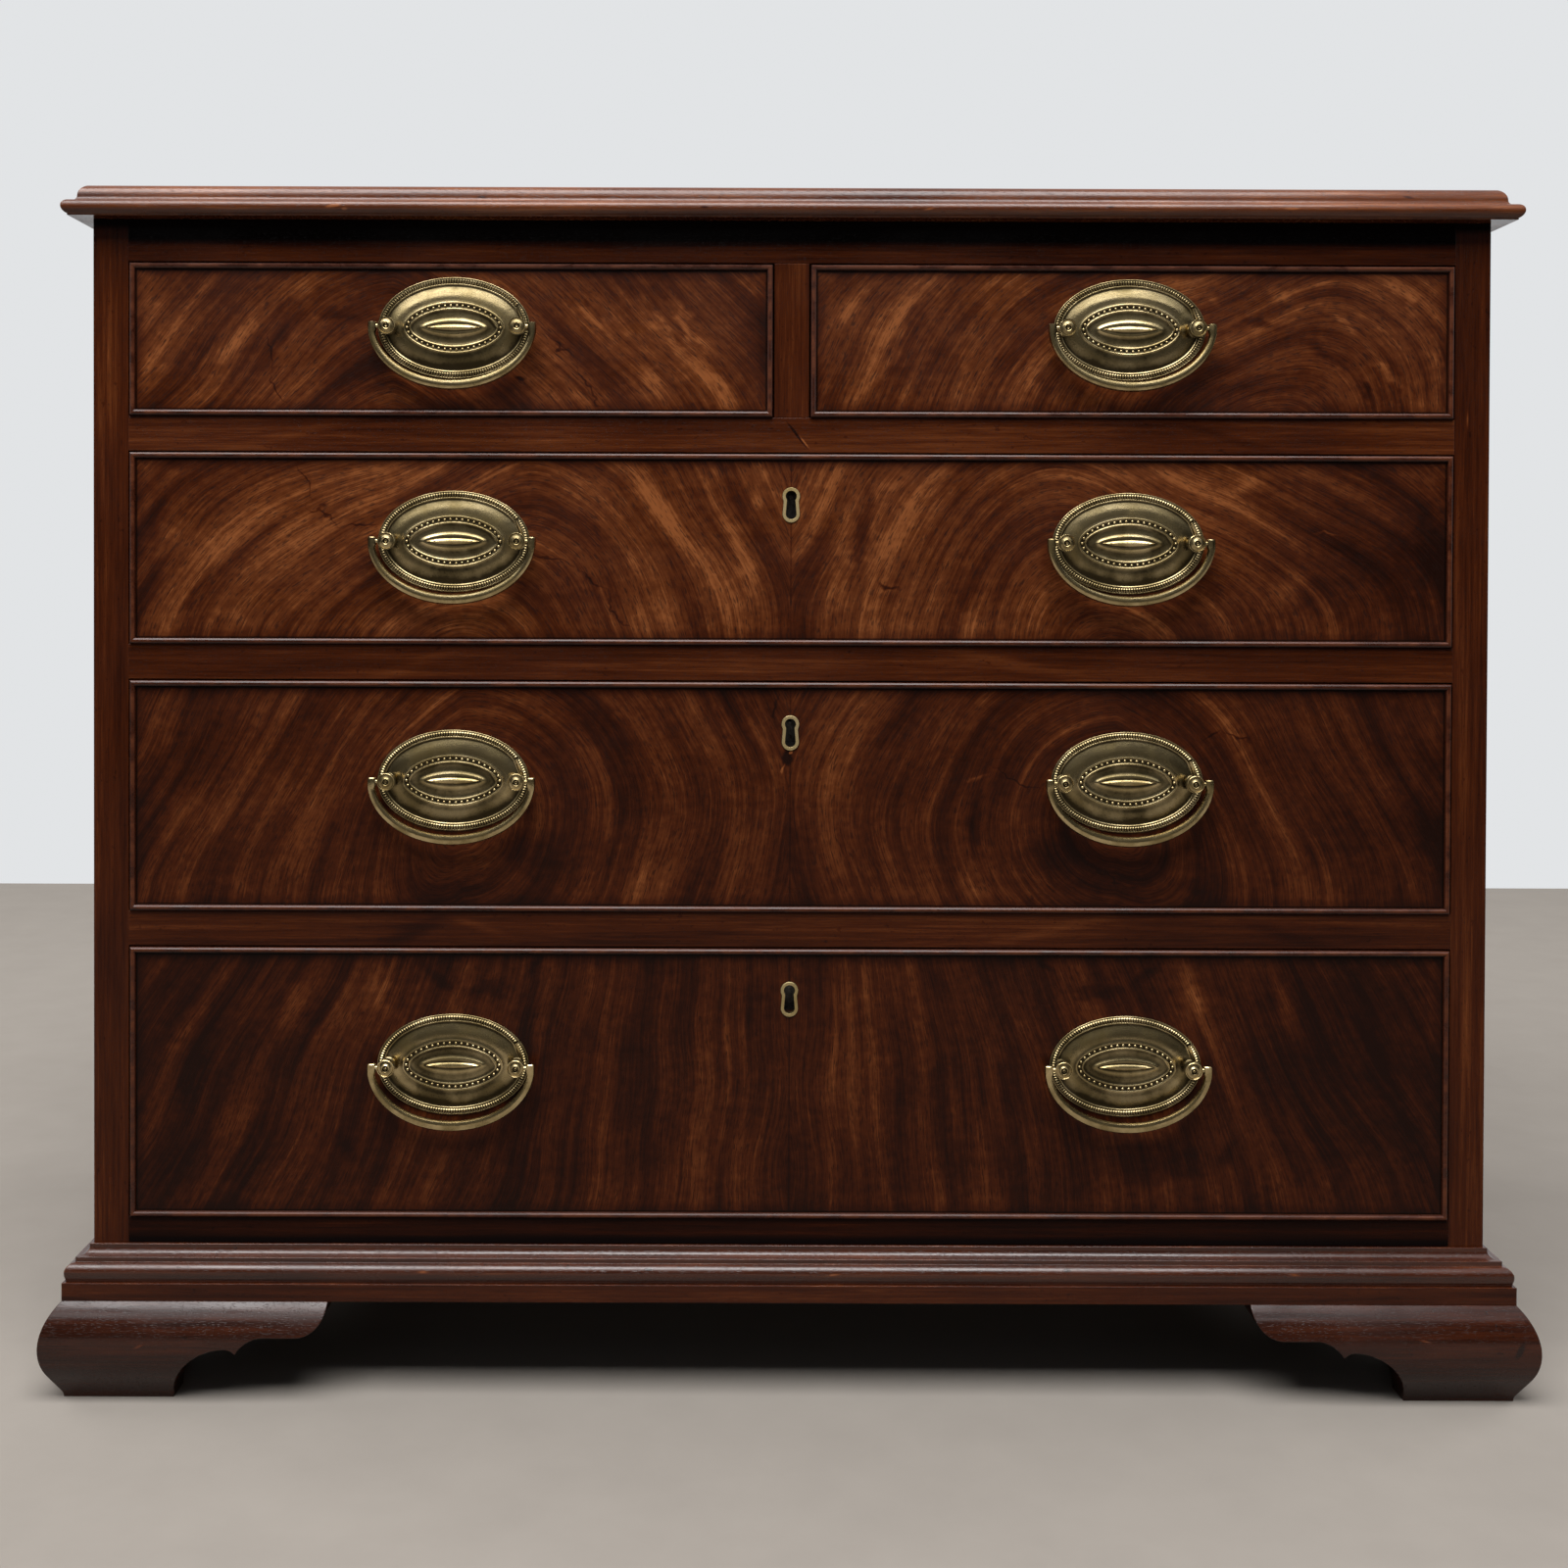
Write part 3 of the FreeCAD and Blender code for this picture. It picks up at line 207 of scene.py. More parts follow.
class Finish:
    """A material or world whose nodes are added by small named steps."""

    def __init__(self, owner):
        owner.use_nodes = True
        self.owner = owner
        self.tree = owner.node_tree
        self.tree.nodes.clear()

    def node(self, kind, inputs=(), **settings):
        made = self.tree.nodes.new(kind)
        for key, value in settings.items():
            setattr(made, key, value)
        for key, value in dict(inputs).items():
            self.feed(made.inputs[key], value)
        return made

    def feed(self, socket, value):
        """Links a value to the socket, or sets the socket to a number or colour."""
        if isinstance(value, Value):
            self.tree.links.new(value.socket, socket)
        elif value is not None:
            socket.default_value = value

    def out(self, node, output=0):
        return Value(self, node.outputs[output])

    def math(self, operation, *values, clamp=False):
        return self.out(
            self.node("ShaderNodeMath", enumerate(values), operation=operation, use_clamp=clamp)
        )

    def place(self):
        """The point on the piece, in millimetres, as three numbers."""
        point = self.out(self.node("ShaderNodeTexCoord"), "Object")
        scaled = self.node("ShaderNodeVectorMath", {0: point, "Scale": 1 / MM}, operation="SCALE")
        parts = self.node("ShaderNodeSeparateXYZ", {0: self.out(scaled)})
        return tuple(Value(self, part) for part in parts.outputs)

    def vector(self, x, y, z):
        return self.out(self.node("ShaderNodeCombineXYZ", enumerate((x, y, z))))

    def noise(self, place, lengths, detail, roughness, distortion=0.0):
        """Noise from 0 to 1, whose lumps are as long as the three lengths, or as the one."""
        if isinstance(lengths, (int, float)):
            lengths = (lengths,) * 3
        inputs = {
            "Vector": self.vector(*(part / length for part, length in zip(place, lengths))),
            "Scale": 1.0,
            "Detail": detail,
            "Roughness": roughness,
            "Distortion": distortion,
        }
        return self.out(self.node("ShaderNodeTexNoise", inputs))

    def between(self, value, low, high, start=0.0, end=1.0):
        """The value's place between low and high, eased, as a number from start to end."""
        made = self.node(
            "ShaderNodeMapRange",
            enumerate((value, low, high, start, end)),
            interpolation_type="SMOOTHSTEP",
            clamp=True,
        )
        return self.out(made)

    def ramp(self, factor, stops, interpolation="LINEAR"):
        """The colour at the factor's place among the stops."""
        made = self.node("ShaderNodeValToRGB", {0: factor})
        band = made.color_ramp
        band.interpolation = interpolation
        while len(band.elements) < len(stops):
            band.elements.new(1.0)
        for element, (position, colour) in zip(band.elements, stops):
            element.position = position
            element.color = (*colour[:3], 1.0)
        return self.out(made)

    def mix(self, factor, a, b):
        """A colour that goes from a to b with the factor."""
        a, b = (end if isinstance(end, Value) else (*end[:3], 1.0) for end in (a, b))
        return self.out(self.node("ShaderNodeMix", {0: factor, 6: a, 7: b}, data_type="RGBA"), 2)

    def blend(self, factor, a, b):
        """A number that goes from a to b with the factor."""
        return self.out(self.node("ShaderNodeMix", {0: factor, 2: a, 3: b}, data_type="FLOAT"))

    def shaded(self, tone, *parts):
        """The tone, made lighter or darker by each noise as far as the number beside it says."""
        for noise, strength in parts:
            tone = tone + (noise - 0.5) * strength
        return tone

    def patch(self, flat, across, up, long, wide, turn, strength):
        """A soft oval patch on a flat face: its strength at the middle and 0 past its edge."""
        inputs = {
            "Vector": flat,
            "Location": (across, up, 0),
            "Rotation": (0, 0, math.radians(turn)),
            "Scale": (long, wide, 1),
        }
        placed = self.out(self.node("ShaderNodeMapping", inputs, vector_type="TEXTURE"))
        distance = self.node("ShaderNodeVectorMath", {0: placed}, operation="LENGTH")
        return self.between(self.out(distance, "Value"), 1.0, 0.0, 0.0, strength)

    def worn_edge(self, radius):
        """Near 1 along the piece's sharp edges and 0 on its flats, and its normals rounded off."""
        soft = self.out(self.node("ShaderNodeBevel", {"Radius": radius * MM}, samples=4))
        flat = self.out(self.node("ShaderNodeNewGeometry"), "True Normal")
        match = self.node("ShaderNodeVectorMath", {0: soft, 1: flat}, operation="DOT_PRODUCT")
        return self.between(self.out(match, "Value"), 0.995, 0.80), soft

    def surface(self, colour, roughness, height=None, depth=0.0, normal=None, **fixed):
        """The finished material. Height is in shares of depth, which is in millimetres."""
        if height is not None:
            inputs = {"Height": height, "Distance": depth * MM, "Normal": normal}
            normal = self.out(self.node("ShaderNodeBump", inputs))
        inputs = {key.replace("_", " "): value for key, value in fixed.items()}
        inputs |= {"Base Color": colour, "Roughness": roughness, "Normal": normal}
        shader = self.node("ShaderNodeBsdfPrincipled", inputs)
        self.node("ShaderNodeOutputMaterial", {0: self.out(shader)})
        return self.owner


def new_finish(name):
    return Finish(bpy.data.materials.new(name))


def tinted(colour, shares):
    """The colour with these shares of its red, green and blue."""
    return tuple(part * share for part, share in zip(colour, shares))


# ---- plain woods

# Lengths of the marks of straight grain, in millimetres: along it, across it and through it.
MAHOGANY_BANDS, MAHOGANY_STREAKS = (420, 26, 60), (110, 3.2, 9)
OAK_BANDS, OAK_STREAKS = (672, 41.6, 60), (110, 5.12, 9)
HAIRS, PORES = (16, 0.7, 1.4), (3.4, 0.42, 0.8)

# The corner of the base, from which the mitres of its mouldings and feet run.
BASE_CORNER = (495.3, -241.05)

WOOD_GLOSS = 0.10
OAK_GLOSS = 0.25
# How rough each surface is, from its smoothest to its dullest places.
POLISHED, VENEERED, BARE_OAK = (0.13, 0.30), (0.24, 0.38), (0.62, 0.8)
EDGE_WEAR = 1.1
# Near-black colour of the painted shade laid on pieces in shadow, between their shade levels.
PAINTED_SHADE = (0.003, 0.001, 0.001)
# The top's flat face is duller than its mouldings. It starts between these levels.
TOP_FACE = (826.5, 827.8)
TOP_DULLNESS = 0.14

# Where the three backboards meet, how dark the joints are, and the oak's tones and pores as shares
# of its colour.
BACK_JOINTS = [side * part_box("backboards")[1][0] / MM / 3 for side in (-1, 1)]
JOINT_DARK = (0.008, 0.005, 0.003)
OAK_TONES = (
    (0.10, (0.22, 0.18, 0.14)),
    (0.34, (0.62, 0.58, 0.50)),
    (0.52, (1.0, 1.0, 1.0)),
    (0.75, (1.45, 1.5, 1.55)),
)
OAK_PORES = (0.18, 0.14, 0.10)


@dataclass
class Polish:
    """How one group of the carcase's pieces is polished.

    Tone and edge say how light the wood and its rubbed edges are, gloss how strongly it shines,
    and shade between which levels painted shade darkens it. A mark of use on the front is (x, z,
    half length, half width, turn, tone)."""

    nodes: tuple
    grain: str
    tone: float
    edge: float
    gloss: float = WOOD_GLOSS
    shade: tuple = ()
    marks: tuple = ()


CARCASE = {
    "mahogany_top": Polish(
        ("top_board",), "x", 0.70, 0.42, 0.40,
        marks=((-312, 812, 7, 1.6, 8, 0.7), (-304, 810, 3, 1.4, 0, 0.6),
               (-212, 820, 5, 1.2, 0, -0.5), (-60, 812, 4, 1.3, 0, -0.5),
               (92, 811, 6, 1.2, 10, 0.5), (215, 813, 4, 1.4, 0, -0.5),
               (338, 812, 7, 1.1, 0, 0.5), (420, 822, 5, 1.2, -10, -0.5)),
    ),
    # The top rail is toned darker and goes near black above 786 to 793: painted shadow of the
    # top's overhang.
    "mahogany_top_rail": Polish(("top_rail",), "x", 0.34, 0.0, 0.06, (786.0, 793.0)),
    "mahogany_rails": Polish(
        ("rail_upper", "rail_middle"), "x", 0.48, 0.16,
        marks=((4, 659, 15, 1.4, -52, -0.8), (8, 655, 9, 1.2, -50, 0.7),
               (-260, 500, 60, 7, 20, 0.12), (150, 503, 80, 6, -12, 0.14),
               (-340, 660, 70, 6, 14, 0.12), (300, 658, 60, 5, -16, -0.14)),
    ),
    # The lower rail is toned darker than the rails above: partly its own wood and partly painted
    # shade where the light falls off towards the floor.
    "mahogany_low_rail": Polish(
        ("rail_lower",), "x", 0.40, 0.16,
        marks=((-260, 316, 46, 9, 25, -0.2), (-215, 320, 40, 5, -20, 0.16),
               (180, 318, 70, 6, 12, 0.14), (340, 316, 50, 7, -18, -0.16)),
    ),
    # The bottom rail is toned very dark and goes near black below 109 to 102.5, towards the base
    # moulding: painted shade.
    "mahogany_bottom_rail": Polish(("bottom_rail",), "x", 0.12, 0.10, 0.06, (109.0, 102.5)),
    # The uprights go near black above 796 to 803: painted shadow of the top's overhang.
    "mahogany_uprights": Polish(
        ("front_stiles", "centre_divider"), "z", 0.45, 0.16, shade=(796.0, 803.0),
        marks=((465, 671, 1.1, 9, 0, 0.5), (465, 560, 6, 60, 0, -0.12),
               (-468, 400, 5, 80, 0, 0.12), (-470, 640, 4, 40, 0, -0.14),
               (468, 250, 5, 70, 0, 0.10)),
    ),
    "mahogany_sides": Polish(("side_left", "side_right"), "z", 0.48, 0.16),
    "mahogany_mouldings": Polish(
        ("base_moulding",), "mitred", 0.36, 0.38, 0.55,
        marks=((-250, 86, 6, 1.4, 0, 0.5), (-96, 88, 4, 1.3, 0, -0.5), (30, 85, 7, 1.2, 4, 0.5),
               (190, 88, 4, 1.5, 0, -0.5), (345, 86, 6, 1.2, -5, 0.5)),
    ),
    "mahogany_strip": Polish(("plinth_strip",), "mitred", 0.38, 0.34, 0.18),
    "mahogany_front_feet": Polish(
        ("foot_front_left", "foot_front_right"), "mitred", 0.25, 0.42, 0.40,
        marks=((-440, 40, 5, 1.4, 20, 0.5), (-400, 30, 3, 2, 0, -0.5), (494, 40, 8, 3, 60, -0.6),
               (430, 46, 6, 1.3, -12, 0.5), (-486, 20, 4, 2, 50, -0.4)),
    ),
    "mahogany_rear_feet": Polish(("foot_rear_left", "foot_rear_right"), "y", 0.26, 0.34, 0.30),
}


def grain_along(finish, direction):
    """The place turned so that its first part runs along the grain.

    Mitred grain runs along X in front and along Y at the ends."""
    x, y, z = finish.place()
    if direction == "mitred":
        side = finish.math("GREATER_THAN", abs(x) + y, sum(BASE_CORNER))
        return finish.blend(side, x, y), z, finish.blend(side, y, x)
    return {"x": (x, z, y), "y": (y, z, x), "z": (z, x, y)}[direction]


def fibres(finish, grain, band_lengths, streak_lengths):
    """The marks of straight-grained wood: broad bands, streaks, fine fibres and open pores."""
    bands = finish.noise(grain, band_lengths, 2.0, 0.5, 0.3)
    streaks = finish.noise(grain, streak_lengths, 3.0, 0.6, 0.25)
    hairs = finish.noise(grain, HAIRS, 2.0, 0.6)
    pores = finish.noise(grain, PORES, 1.0, 0.5)
    return bands, streaks, hairs, finish.between(pores, 0.60, 0.72)


def wood_tones(colours):
    """The mahogany's tones, each about twice as light as the one before."""
    tones = (colours.shadow, colours.deep, colours.body, colours.flame, colours.glow)
    return tuple((0.25 * place, tone) for place, tone in enumerate(tones))


def make_mahogany(name, colours, polish):
    """Polished mahogany with plain grain, rubbed along its edges, and darkened with painted shade
    where its pieces lie in shadow.
    """
    finish = new_finish(name)
    grain = grain_along(finish, polish.grain)
    bands, streaks, hairs, pores = fibres(finish, grain, MAHOGANY_BANDS, MAHOGANY_STREAKS)
    clouds = finish.noise(grain, (160, 120, 120), 2.0, 0.5)
    value = finish.shaded(
        polish.tone, (bands, 0.70), (streaks, 0.75), (hairs, 0.36), (clouds, 0.50)
    )
    worn, normal = finish.worn_edge(EDGE_WEAR)
    rubbed = finish.between(finish.noise(grain, (17, 9, 9), 3.0, 0.65), 0.40, 0.60)
    scuffs = finish.between(finish.noise(grain, (6, 4, 4), 2.0, 0.6), 0.66, 0.74)
    value = value + worn * rubbed * polish.edge - scuffs * 0.16
    x, _, z = finish.place()
    for mark in polish.marks:
        value = value + finish.patch(finish.vector(x, z, 0.0), *mark)
    colour = finish.ramp(value, wood_tones(colours))
    colour = finish.mix(pores * 0.55, colour, colours.shadow)
    # Painted shade: near black between the polish's shade levels, where the piece lies in shadow.
    if polish.shade:
        colour = finish.mix(finish.between(z, *polish.shade), colour, PAINTED_SHADE)
    smudges = finish.noise(grain, (90, 60, 60), 3.0, 0.6)
    roughness = finish.between(smudges, 0.3, 0.7, *POLISHED) + pores * 0.15
    roughness = roughness + finish.between(z, *TOP_FACE, 0.0, TOP_DULLNESS)
    height = hairs * 0.35 - pores * 0.8
    return finish.surface(
        colour, roughness, height, 0.05, normal, Specular_IOR_Level=polish.gloss
    )


def make_oak(name, colours, direction, dirt=0.35, joints=()):
    """Dry unpolished oak with open pores, dusty and darkened by age, with dark joints."""
    finish = new_finish(name)
    grain = grain_along(finish, direction)
    bands, streaks, hairs, pores = fibres(finish, grain, OAK_BANDS, OAK_STREAKS)
    age = finish.between(finish.noise(grain, (420, 160, 160), 3.0, 0.55), 0.45, 0.75)
    value = bands * 0.35 + streaks * 0.35 + hairs * 0.18 - age * (dirt * 0.5)
    tones = [(place, tinted(colours.oak, shares)) for place, shares in OAK_TONES]
    colour = finish.ramp(value, tones)
    colour = finish.mix(pores * 0.5, colour, tinted(colours.oak, OAK_PORES))
    x, _, _ = finish.place()
    for joint in joints:
        line = finish.between(abs(x - joint), 1.4, 0.5)
        colour = finish.mix(line * 0.9, colour, JOINT_DARK)
    roughness = finish.between(streaks, 0.3, 0.7, *BARE_OAK)
    height = hairs * 0.5 - pores
    return finish.surface(colour, roughness, height, 0.12, Specular_IOR_Level=OAK_GLOSS)


# ---- veneers


@dataclass
class Figure:
    """How the figure of a drawer's veneer lies: rings of grain round a centre, and marks on them.

    Across is measured from the seam, or from the middle of a short drawer, and up from its floor.
    The rings are (distance, tone), the strokes and marks (across, up, half length, half width,
    turn, tone). Strokes lie alike on both leaves, marks and cracks where they are. The grain of a
    fan has no centre, and runs towards a point that far above the drawer's floor."""

    tone: float
    rings: tuple
    centre: tuple = (0, 0)
    stretch: tuple = (1, 1)
    lean: float = 0.0
    power: float = 2.0
    fan: float = 0.0
    drift: float = 24.0
    mirrored: bool = True
    strokes: tuple = ()
    marks: tuple = ()
    cracks: tuple = ()


# The drawers are toned darker towards the floor, and each long drawer has a large dark mark at its
# right end (across 390 to 400): partly the veneer's own tone and partly painted shade where the
# light falls off.
FIGURES = {
    "short_left": Figure(
        tone=0.57, centre=(-40, -60), stretch=(0.95, 1.1), power=1.35, drift=30, mirrored=False,
        rings=((60, 0), (96, -0.06), (118, 0.05), (134, -0.08), (150, 0.04), (176, 0.08),
               (196, -0.05), (222, 0.1), (240, -0.02), (262, 0.1), (290, 0)),
        marks=((-155, 45, 46, 9, 41, 0.17), (-102, 85, 22, 7, 30, 0.15),
               (-118, 56, 25, 8, 40, -0.22), (-76, 67, 27, 8, -10, -0.2),
               (-60, 30, 44, 24, 10, -0.12), (100, 68, 38, 7, -48, 0.18),
               (138, 25, 20, 7, -50, 0.17), (140, 65, 40, 7, -50, 0.18),
               (182, 20, 24, 7, -40, 0.16), (165, 62, 42, 6, -52, 0.15), (45, 24, 5, 4, 0, -0.45),
               (208, 50, 18, 60, 0, -0.12), (-205, 60, 16, 46, 0, 0.06)),
        cracks=(((-130, 55), (-125, 30), (-115, 5)), ((60, 55), (85, 38), (110, 8))),
    ),
    "short_right": Figure(
        tone=0.65, centre=(95, -15), stretch=(1.56, 1), drift=22, mirrored=False,
        rings=((0, -0.04), (62, -0.08), (84, -0.12), (96, 0.08), (106, 0.1), (114, -0.04),
               (125, 0.08), (140, 0), (180, 0.02), (214, -0.08), (240, 0.06), (262, -0.06),
               (282, 0.08), (310, 0)),
        marks=((105, 86, 26, 7, -11, 0.16), (145, 66, 23, 7, -45, 0.18),
               (175, 28, 28, 7, -56, 0.18), (185, 80, 26, 6, -53, 0.16),
               (208, 35, 27, 6, -73, 0.15), (90, 66, 22, 6, -14, -0.2),
               (130, 45, 26, 6, -37, -0.2), (160, 18, 17, 6, -51, -0.2),
               (-190, 80, 25, 9, 60, 0.15), (-160, 65, 28, 7, 70, 0.15),
               (-172, 32, 36, 6, 51, 0.14), (-135, 80, 26, 6, 53, 0.13), (55, 82, 8, 8, 0, 0.14),
               (-70, 18, 7, 10, 0, 0.12), (20, 20, 70, 26, 0, -0.12)),
    ),
    "upper": Figure(
        tone=0.66, centre=(225, -15), stretch=(1, 1.4),
        rings=((60, 0), (100, -0.04), (140, -0.06), (152, 0.1), (163, -0.06), (178, 0.12),
               (190, -0.08), (204, 0.1), (218, -0.08), (236, 0.02), (258, -0.04), (290, 0.02)),
        strokes=((90, 92, 50, 15, 52, 0.14), (34, 55, 54, 12, 82, 0.12),
                 (443, 60, 80, 16, 100, -0.18), (238, 105, 60, 16, 0, -0.05)),
        marks=((48, 72, 58, 7, 82, -0.22), (400, 60, 130, 100, 0, -0.26),
               (315, 112, 19, 9, 0, 0.16), (343, 42, 27, 15, 50, 0.16),
               (368, 77, 14, 1.3, 0, 0.26), (65, 39, 11, 2.6, -17, -0.36),
               (-392, 70, 44, 20, 45, 0.05), (-26, 96, 34, 7, 80, 0.1)),
        cracks=(((-340, 125), (-330, 100), (-312, 80), (-280, 85)),
                ((-178, 66), (-150, 50), (-130, 35), (-110, 8))),
    ),
    "middle": Figure(
        tone=0.48, centre=(225, 60), lean=0.62, drift=20,
        rings=((40, -0.08), (84, -0.06), (97, 0.1), (108, -0.06), (120, -0.04), (130, 0.1),
               (142, -0.05), (155, 0.09), (170, -0.08), (186, -0.04), (200, 0.1), (216, -0.05),
               (240, 0.02), (270, -0.04), (300, 0.03)),
        strokes=((180, 40, 34, 24, 0, -0.18), (232, 14, 66, 20, 0, -0.14),
                 (443, 80, 110, 16, 95, -0.12), (100, 120, 40, 9, 70, 0.08)),
        marks=((127, 60, 31, 9, 85, -0.22), (127, 92, 9, 2, 0, 0.22),
               (400, 80, 150, 110, 0, -0.08), (-2.5, 106, 8, 5.5, 60, -0.9),
               (1, 111, 2.2, 1.2, 0, 0.9), (-6, 98, 7, 1.3, 70, 0.35)),
        cracks=(((135, 100), (175, 80)), ((195, 40), (205, 30), (230, 15)),
                ((285, 120), (300, 130), (315, 115)), ((-14, 128), (-9, 150))),
    ),
    "lower": Figure(
        tone=0.36, fan=900, drift=22,
        rings=((0, 0.02), (22, -0.03), (44, 0.03), (62, 0.08), (76, -0.02), (96, 0.07),
               (120, -0.04), (140, 0.06), (168, -0.02), (205, -0.1), (232, 0.02), (262, 0.03),
               (300, -0.04), (345, 0.05), (392, 0), (440, -0.1), (500, -0.04)),
        strokes=((188, 105, 80, 10, -73, -0.16), (412, 100, 86, 13, -69, -0.16),
                 (345, 150, 36, 15, -73, 0.16), (280, 152, 30, 18, -75, 0.16),
                 (245, 168, 21, 6, 40, -0.2), (210, 158, 25, 7, -14, -0.2),
                 (178, 175, 15, 6, -60, -0.18), (305, 47, 8, 11, 0, -0.16)),
        marks=((92, 100, 90, 9, 88, 0.1), (60, 100, 90, 4, 90, 0.08), (140, 100, 80, 8, 86, 0.08),
               (192, 140, 46, 7, -75, 0.1), (265, 40, 66, 24, 0, -0.18),
               (390, 90, 150, 110, 0, -0.12)),
    ),
}

# How strongly marks and rings tell in the wood's tone, and how far out the rings reach.
MARK_DEPTH = 1.5
RING_DEPTH = 1.5
RING_REACH = 600.0

# A crack's half width and tone, and how far its parts lap over each other.
CRACK_WIDTH = 1.3
CRACK_TONE = -0.42
CRACK_LAP = 0.62

# Width of the cockbeads, where their rubbed crown is, how thick the veneer is, and the colour of
# the painted shade in the gap beside a bead, with the polish that gathers there.
BEAD_WIDTH = 4.0
BEAD_CROWN = (FRONT - 1.2, FRONT - 2.2)
VENEER = 0.9
BEAD_SHADE_AND_DIRT = (0.002, 0.001, 0.0006)


def veneer_grain(finish, row, figure):
    """Places on a drawer's face, and the distance across its curved grain."""
    x, y, z = finish.place()
    side, up = x - row.middle, z - row.floor
    across = abs(side) if figure.mirrored else side
    drift = finish.noise((side, up, len(row.name) * 31.0), (190, 150, 1), 1.0, 0.5)
    if figure.fan:
        over = across / (1.0 - up / figure.fan)
    else:
        out = across - figure.centre[0]
        high = up - figure.centre[1] + finish.math("MAXIMUM", out, 0.0) * figure.lean
        high = abs(high) * finish.between(out, -60.0, 60.0, *figure.stretch)
        over = (abs(out) ** figure.power + high ** figure.power) ** (1 / figure.power)
    over = over + (drift - 0.5) * (2.0 * figure.drift)
    return side, across, up, y, over


def ring_tones(finish, over, rings):
    """Lighter and darker rings: a tone for each distance, smooth between them."""
    stops = [(distance / RING_REACH, (0.5 + tone,) * 3) for distance, tone in rings]
    return (finish.ramp(over / RING_REACH, stops, "B_SPLINE") - 0.5) * RING_DEPTH


def crack_lines(finish, flat, cracks, value):
    """Fine dark cracks that run from point to point."""
    for points in cracks:
        for (x0, z0), (x1, z1) in zip(points, points[1:]):
            long = CRACK_LAP * math.dist((x0, z0), (x1, z1))
            turn = math.degrees(math.atan2(z1 - z0, x1 - x0))
            shape = ((x0 + x1) / 2, (z0 + z1) / 2, long, CRACK_WIDTH, turn, CRACK_TONE)
            value = value + finish.patch(flat, *shape)
    return value


def make_veneer(name, colours, row):
    """Crotch veneer of one drawer front, darkened along its beads by gathered polish and painted
    shade.
    """
    figure = FIGURES[row.name]
    finish = new_finish(name)
    side, across, up, y, over = veneer_grain(finish, row, figure)
    grain, face = (over, side, up), (side, up, y)
    bands = finish.noise(grain, (21, 170, 170), 1.0, 0.5)
    ribbons = finish.noise(grain, (6.0, 120, 120), 2.0, 0.5)
    streaks = finish.noise(grain, (1.7, 70, 70), 2.0, 0.6)
    hairs = finish.noise(grain, (0.7, 16, 16), 2.0, 0.6)
    pores = finish.between(finish.noise(grain, (0.9, 6.5, 6.5), 1.0, 0.5), 0.56, 0.68)
    clouds = finish.noise(face, (70, 48, 60), 3.0, 0.6)
    ripple = finish.noise(face, (8, 6, 9), 3.0, 0.6)
    value = finish.shaded(
        figure.tone, (bands, 0.80), (ribbons, 0.62), (streaks, 0.55), (hairs, 0.42),
        (clouds, 0.56), (ripple, 0.40),
    )
    value = value + ring_tones(finish, over, figure.rings)
    wander = (finish.noise(face, (34, 26, 30), 3.0, 0.6) - 0.5) * 26.0
    both_leaves = finish.vector(across + wander, up + wander, 0.0)
    one_leaf = finish.vector(side + wander, up + wander, 0.0)
    for flat, patches in ((both_leaves, figure.strokes), (one_leaf, figure.marks)):
        for *shape, tone in patches:
            value = value + finish.patch(flat, *shape, MARK_DEPTH * tone)
    value = crack_lines(finish, one_leaf, figure.cracks, value)
    edge = row.half - BEAD_WIDTH - abs(side)
    edge = finish.math("MINIMUM", edge, up - BEAD_WIDTH)
    edge = finish.math("MINIMUM", edge, row.height - BEAD_WIDTH - up)
    # Darker within 9 mm of the beads: gathered polish and painted shade.
    value = value - finish.between(edge, 9.0, 0.0, 0.0, 0.20)
    if figure.mirrored:
        value = value - finish.between(abs(side), 0.9, 0.0, 0.0, 0.22)
    colour = finish.ramp(value, wood_tones(colours))
    colour = finish.mix(pores * 0.6, colour, colours.shadow)
    # Near black in the gap beside the bead: painted shade, with gathered polish.
    colour = finish.mix(finish.between(edge, 1.8, 0.2, 0.0, 0.9), colour, BEAD_SHADE_AND_DIRT)
    plain = finish.noise(face, (120, 4, 4), 3.0, 0.6)
    core = finish.ramp(plain, ((0.2, colours.deep), (0.8, colours.body)))
    colour = finish.mix(finish.math("GREATER_THAN", y, FRONT + VENEER), colour, core)
    smudges = finish.noise(face, (80, 50, 50), 3.0, 0.6)
    roughness = finish.between(smudges, 0.3, 0.7, *VENEERED) + pores * 0.12
    height = hairs * 0.3 - pores * 0.7
    return finish.surface(colour, roughness, height, 0.04, Specular_IOR_Level=WOOD_GLOSS)


def make_bead_wood(name, colours):
    """Dark mahogany of the cockbeads, rubbed bright along the crown."""
    finish = new_finish(name)
    x, y, z = finish.place()
    streaks = finish.noise((x, z, y), (60, 2.0, 2.0), 3.0, 0.6)
    patches = finish.noise((x, z, y), (24, 16, 6), 3.0, 0.65)
    crown = finish.between(y, *BEAD_CROWN)
    rubbed = crown * finish.between(patches, 0.34, 0.60)
    value = finish.shaded(0.30, (streaks, 0.30)) + rubbed * 0.34
    colour = finish.ramp(value, wood_tones(colours))
    roughness = finish.between(patches, 0.3, 0.7, 0.24, 0.4)
    return finish.surface(colour, roughness, streaks, 0.05, Specular_IOR_Level=0.3)


# ---- metals

IRON_DARK, IRON_LIGHT = (0.060, 0.056, 0.052), (0.16, 0.15, 0.14)
RUST = (0.075, 0.028, 0.012)
# Red, green and blue of clouded brass, as shares of the clean metal's.
CLOUDED_BRASS = (0.70, 0.66, 0.52)


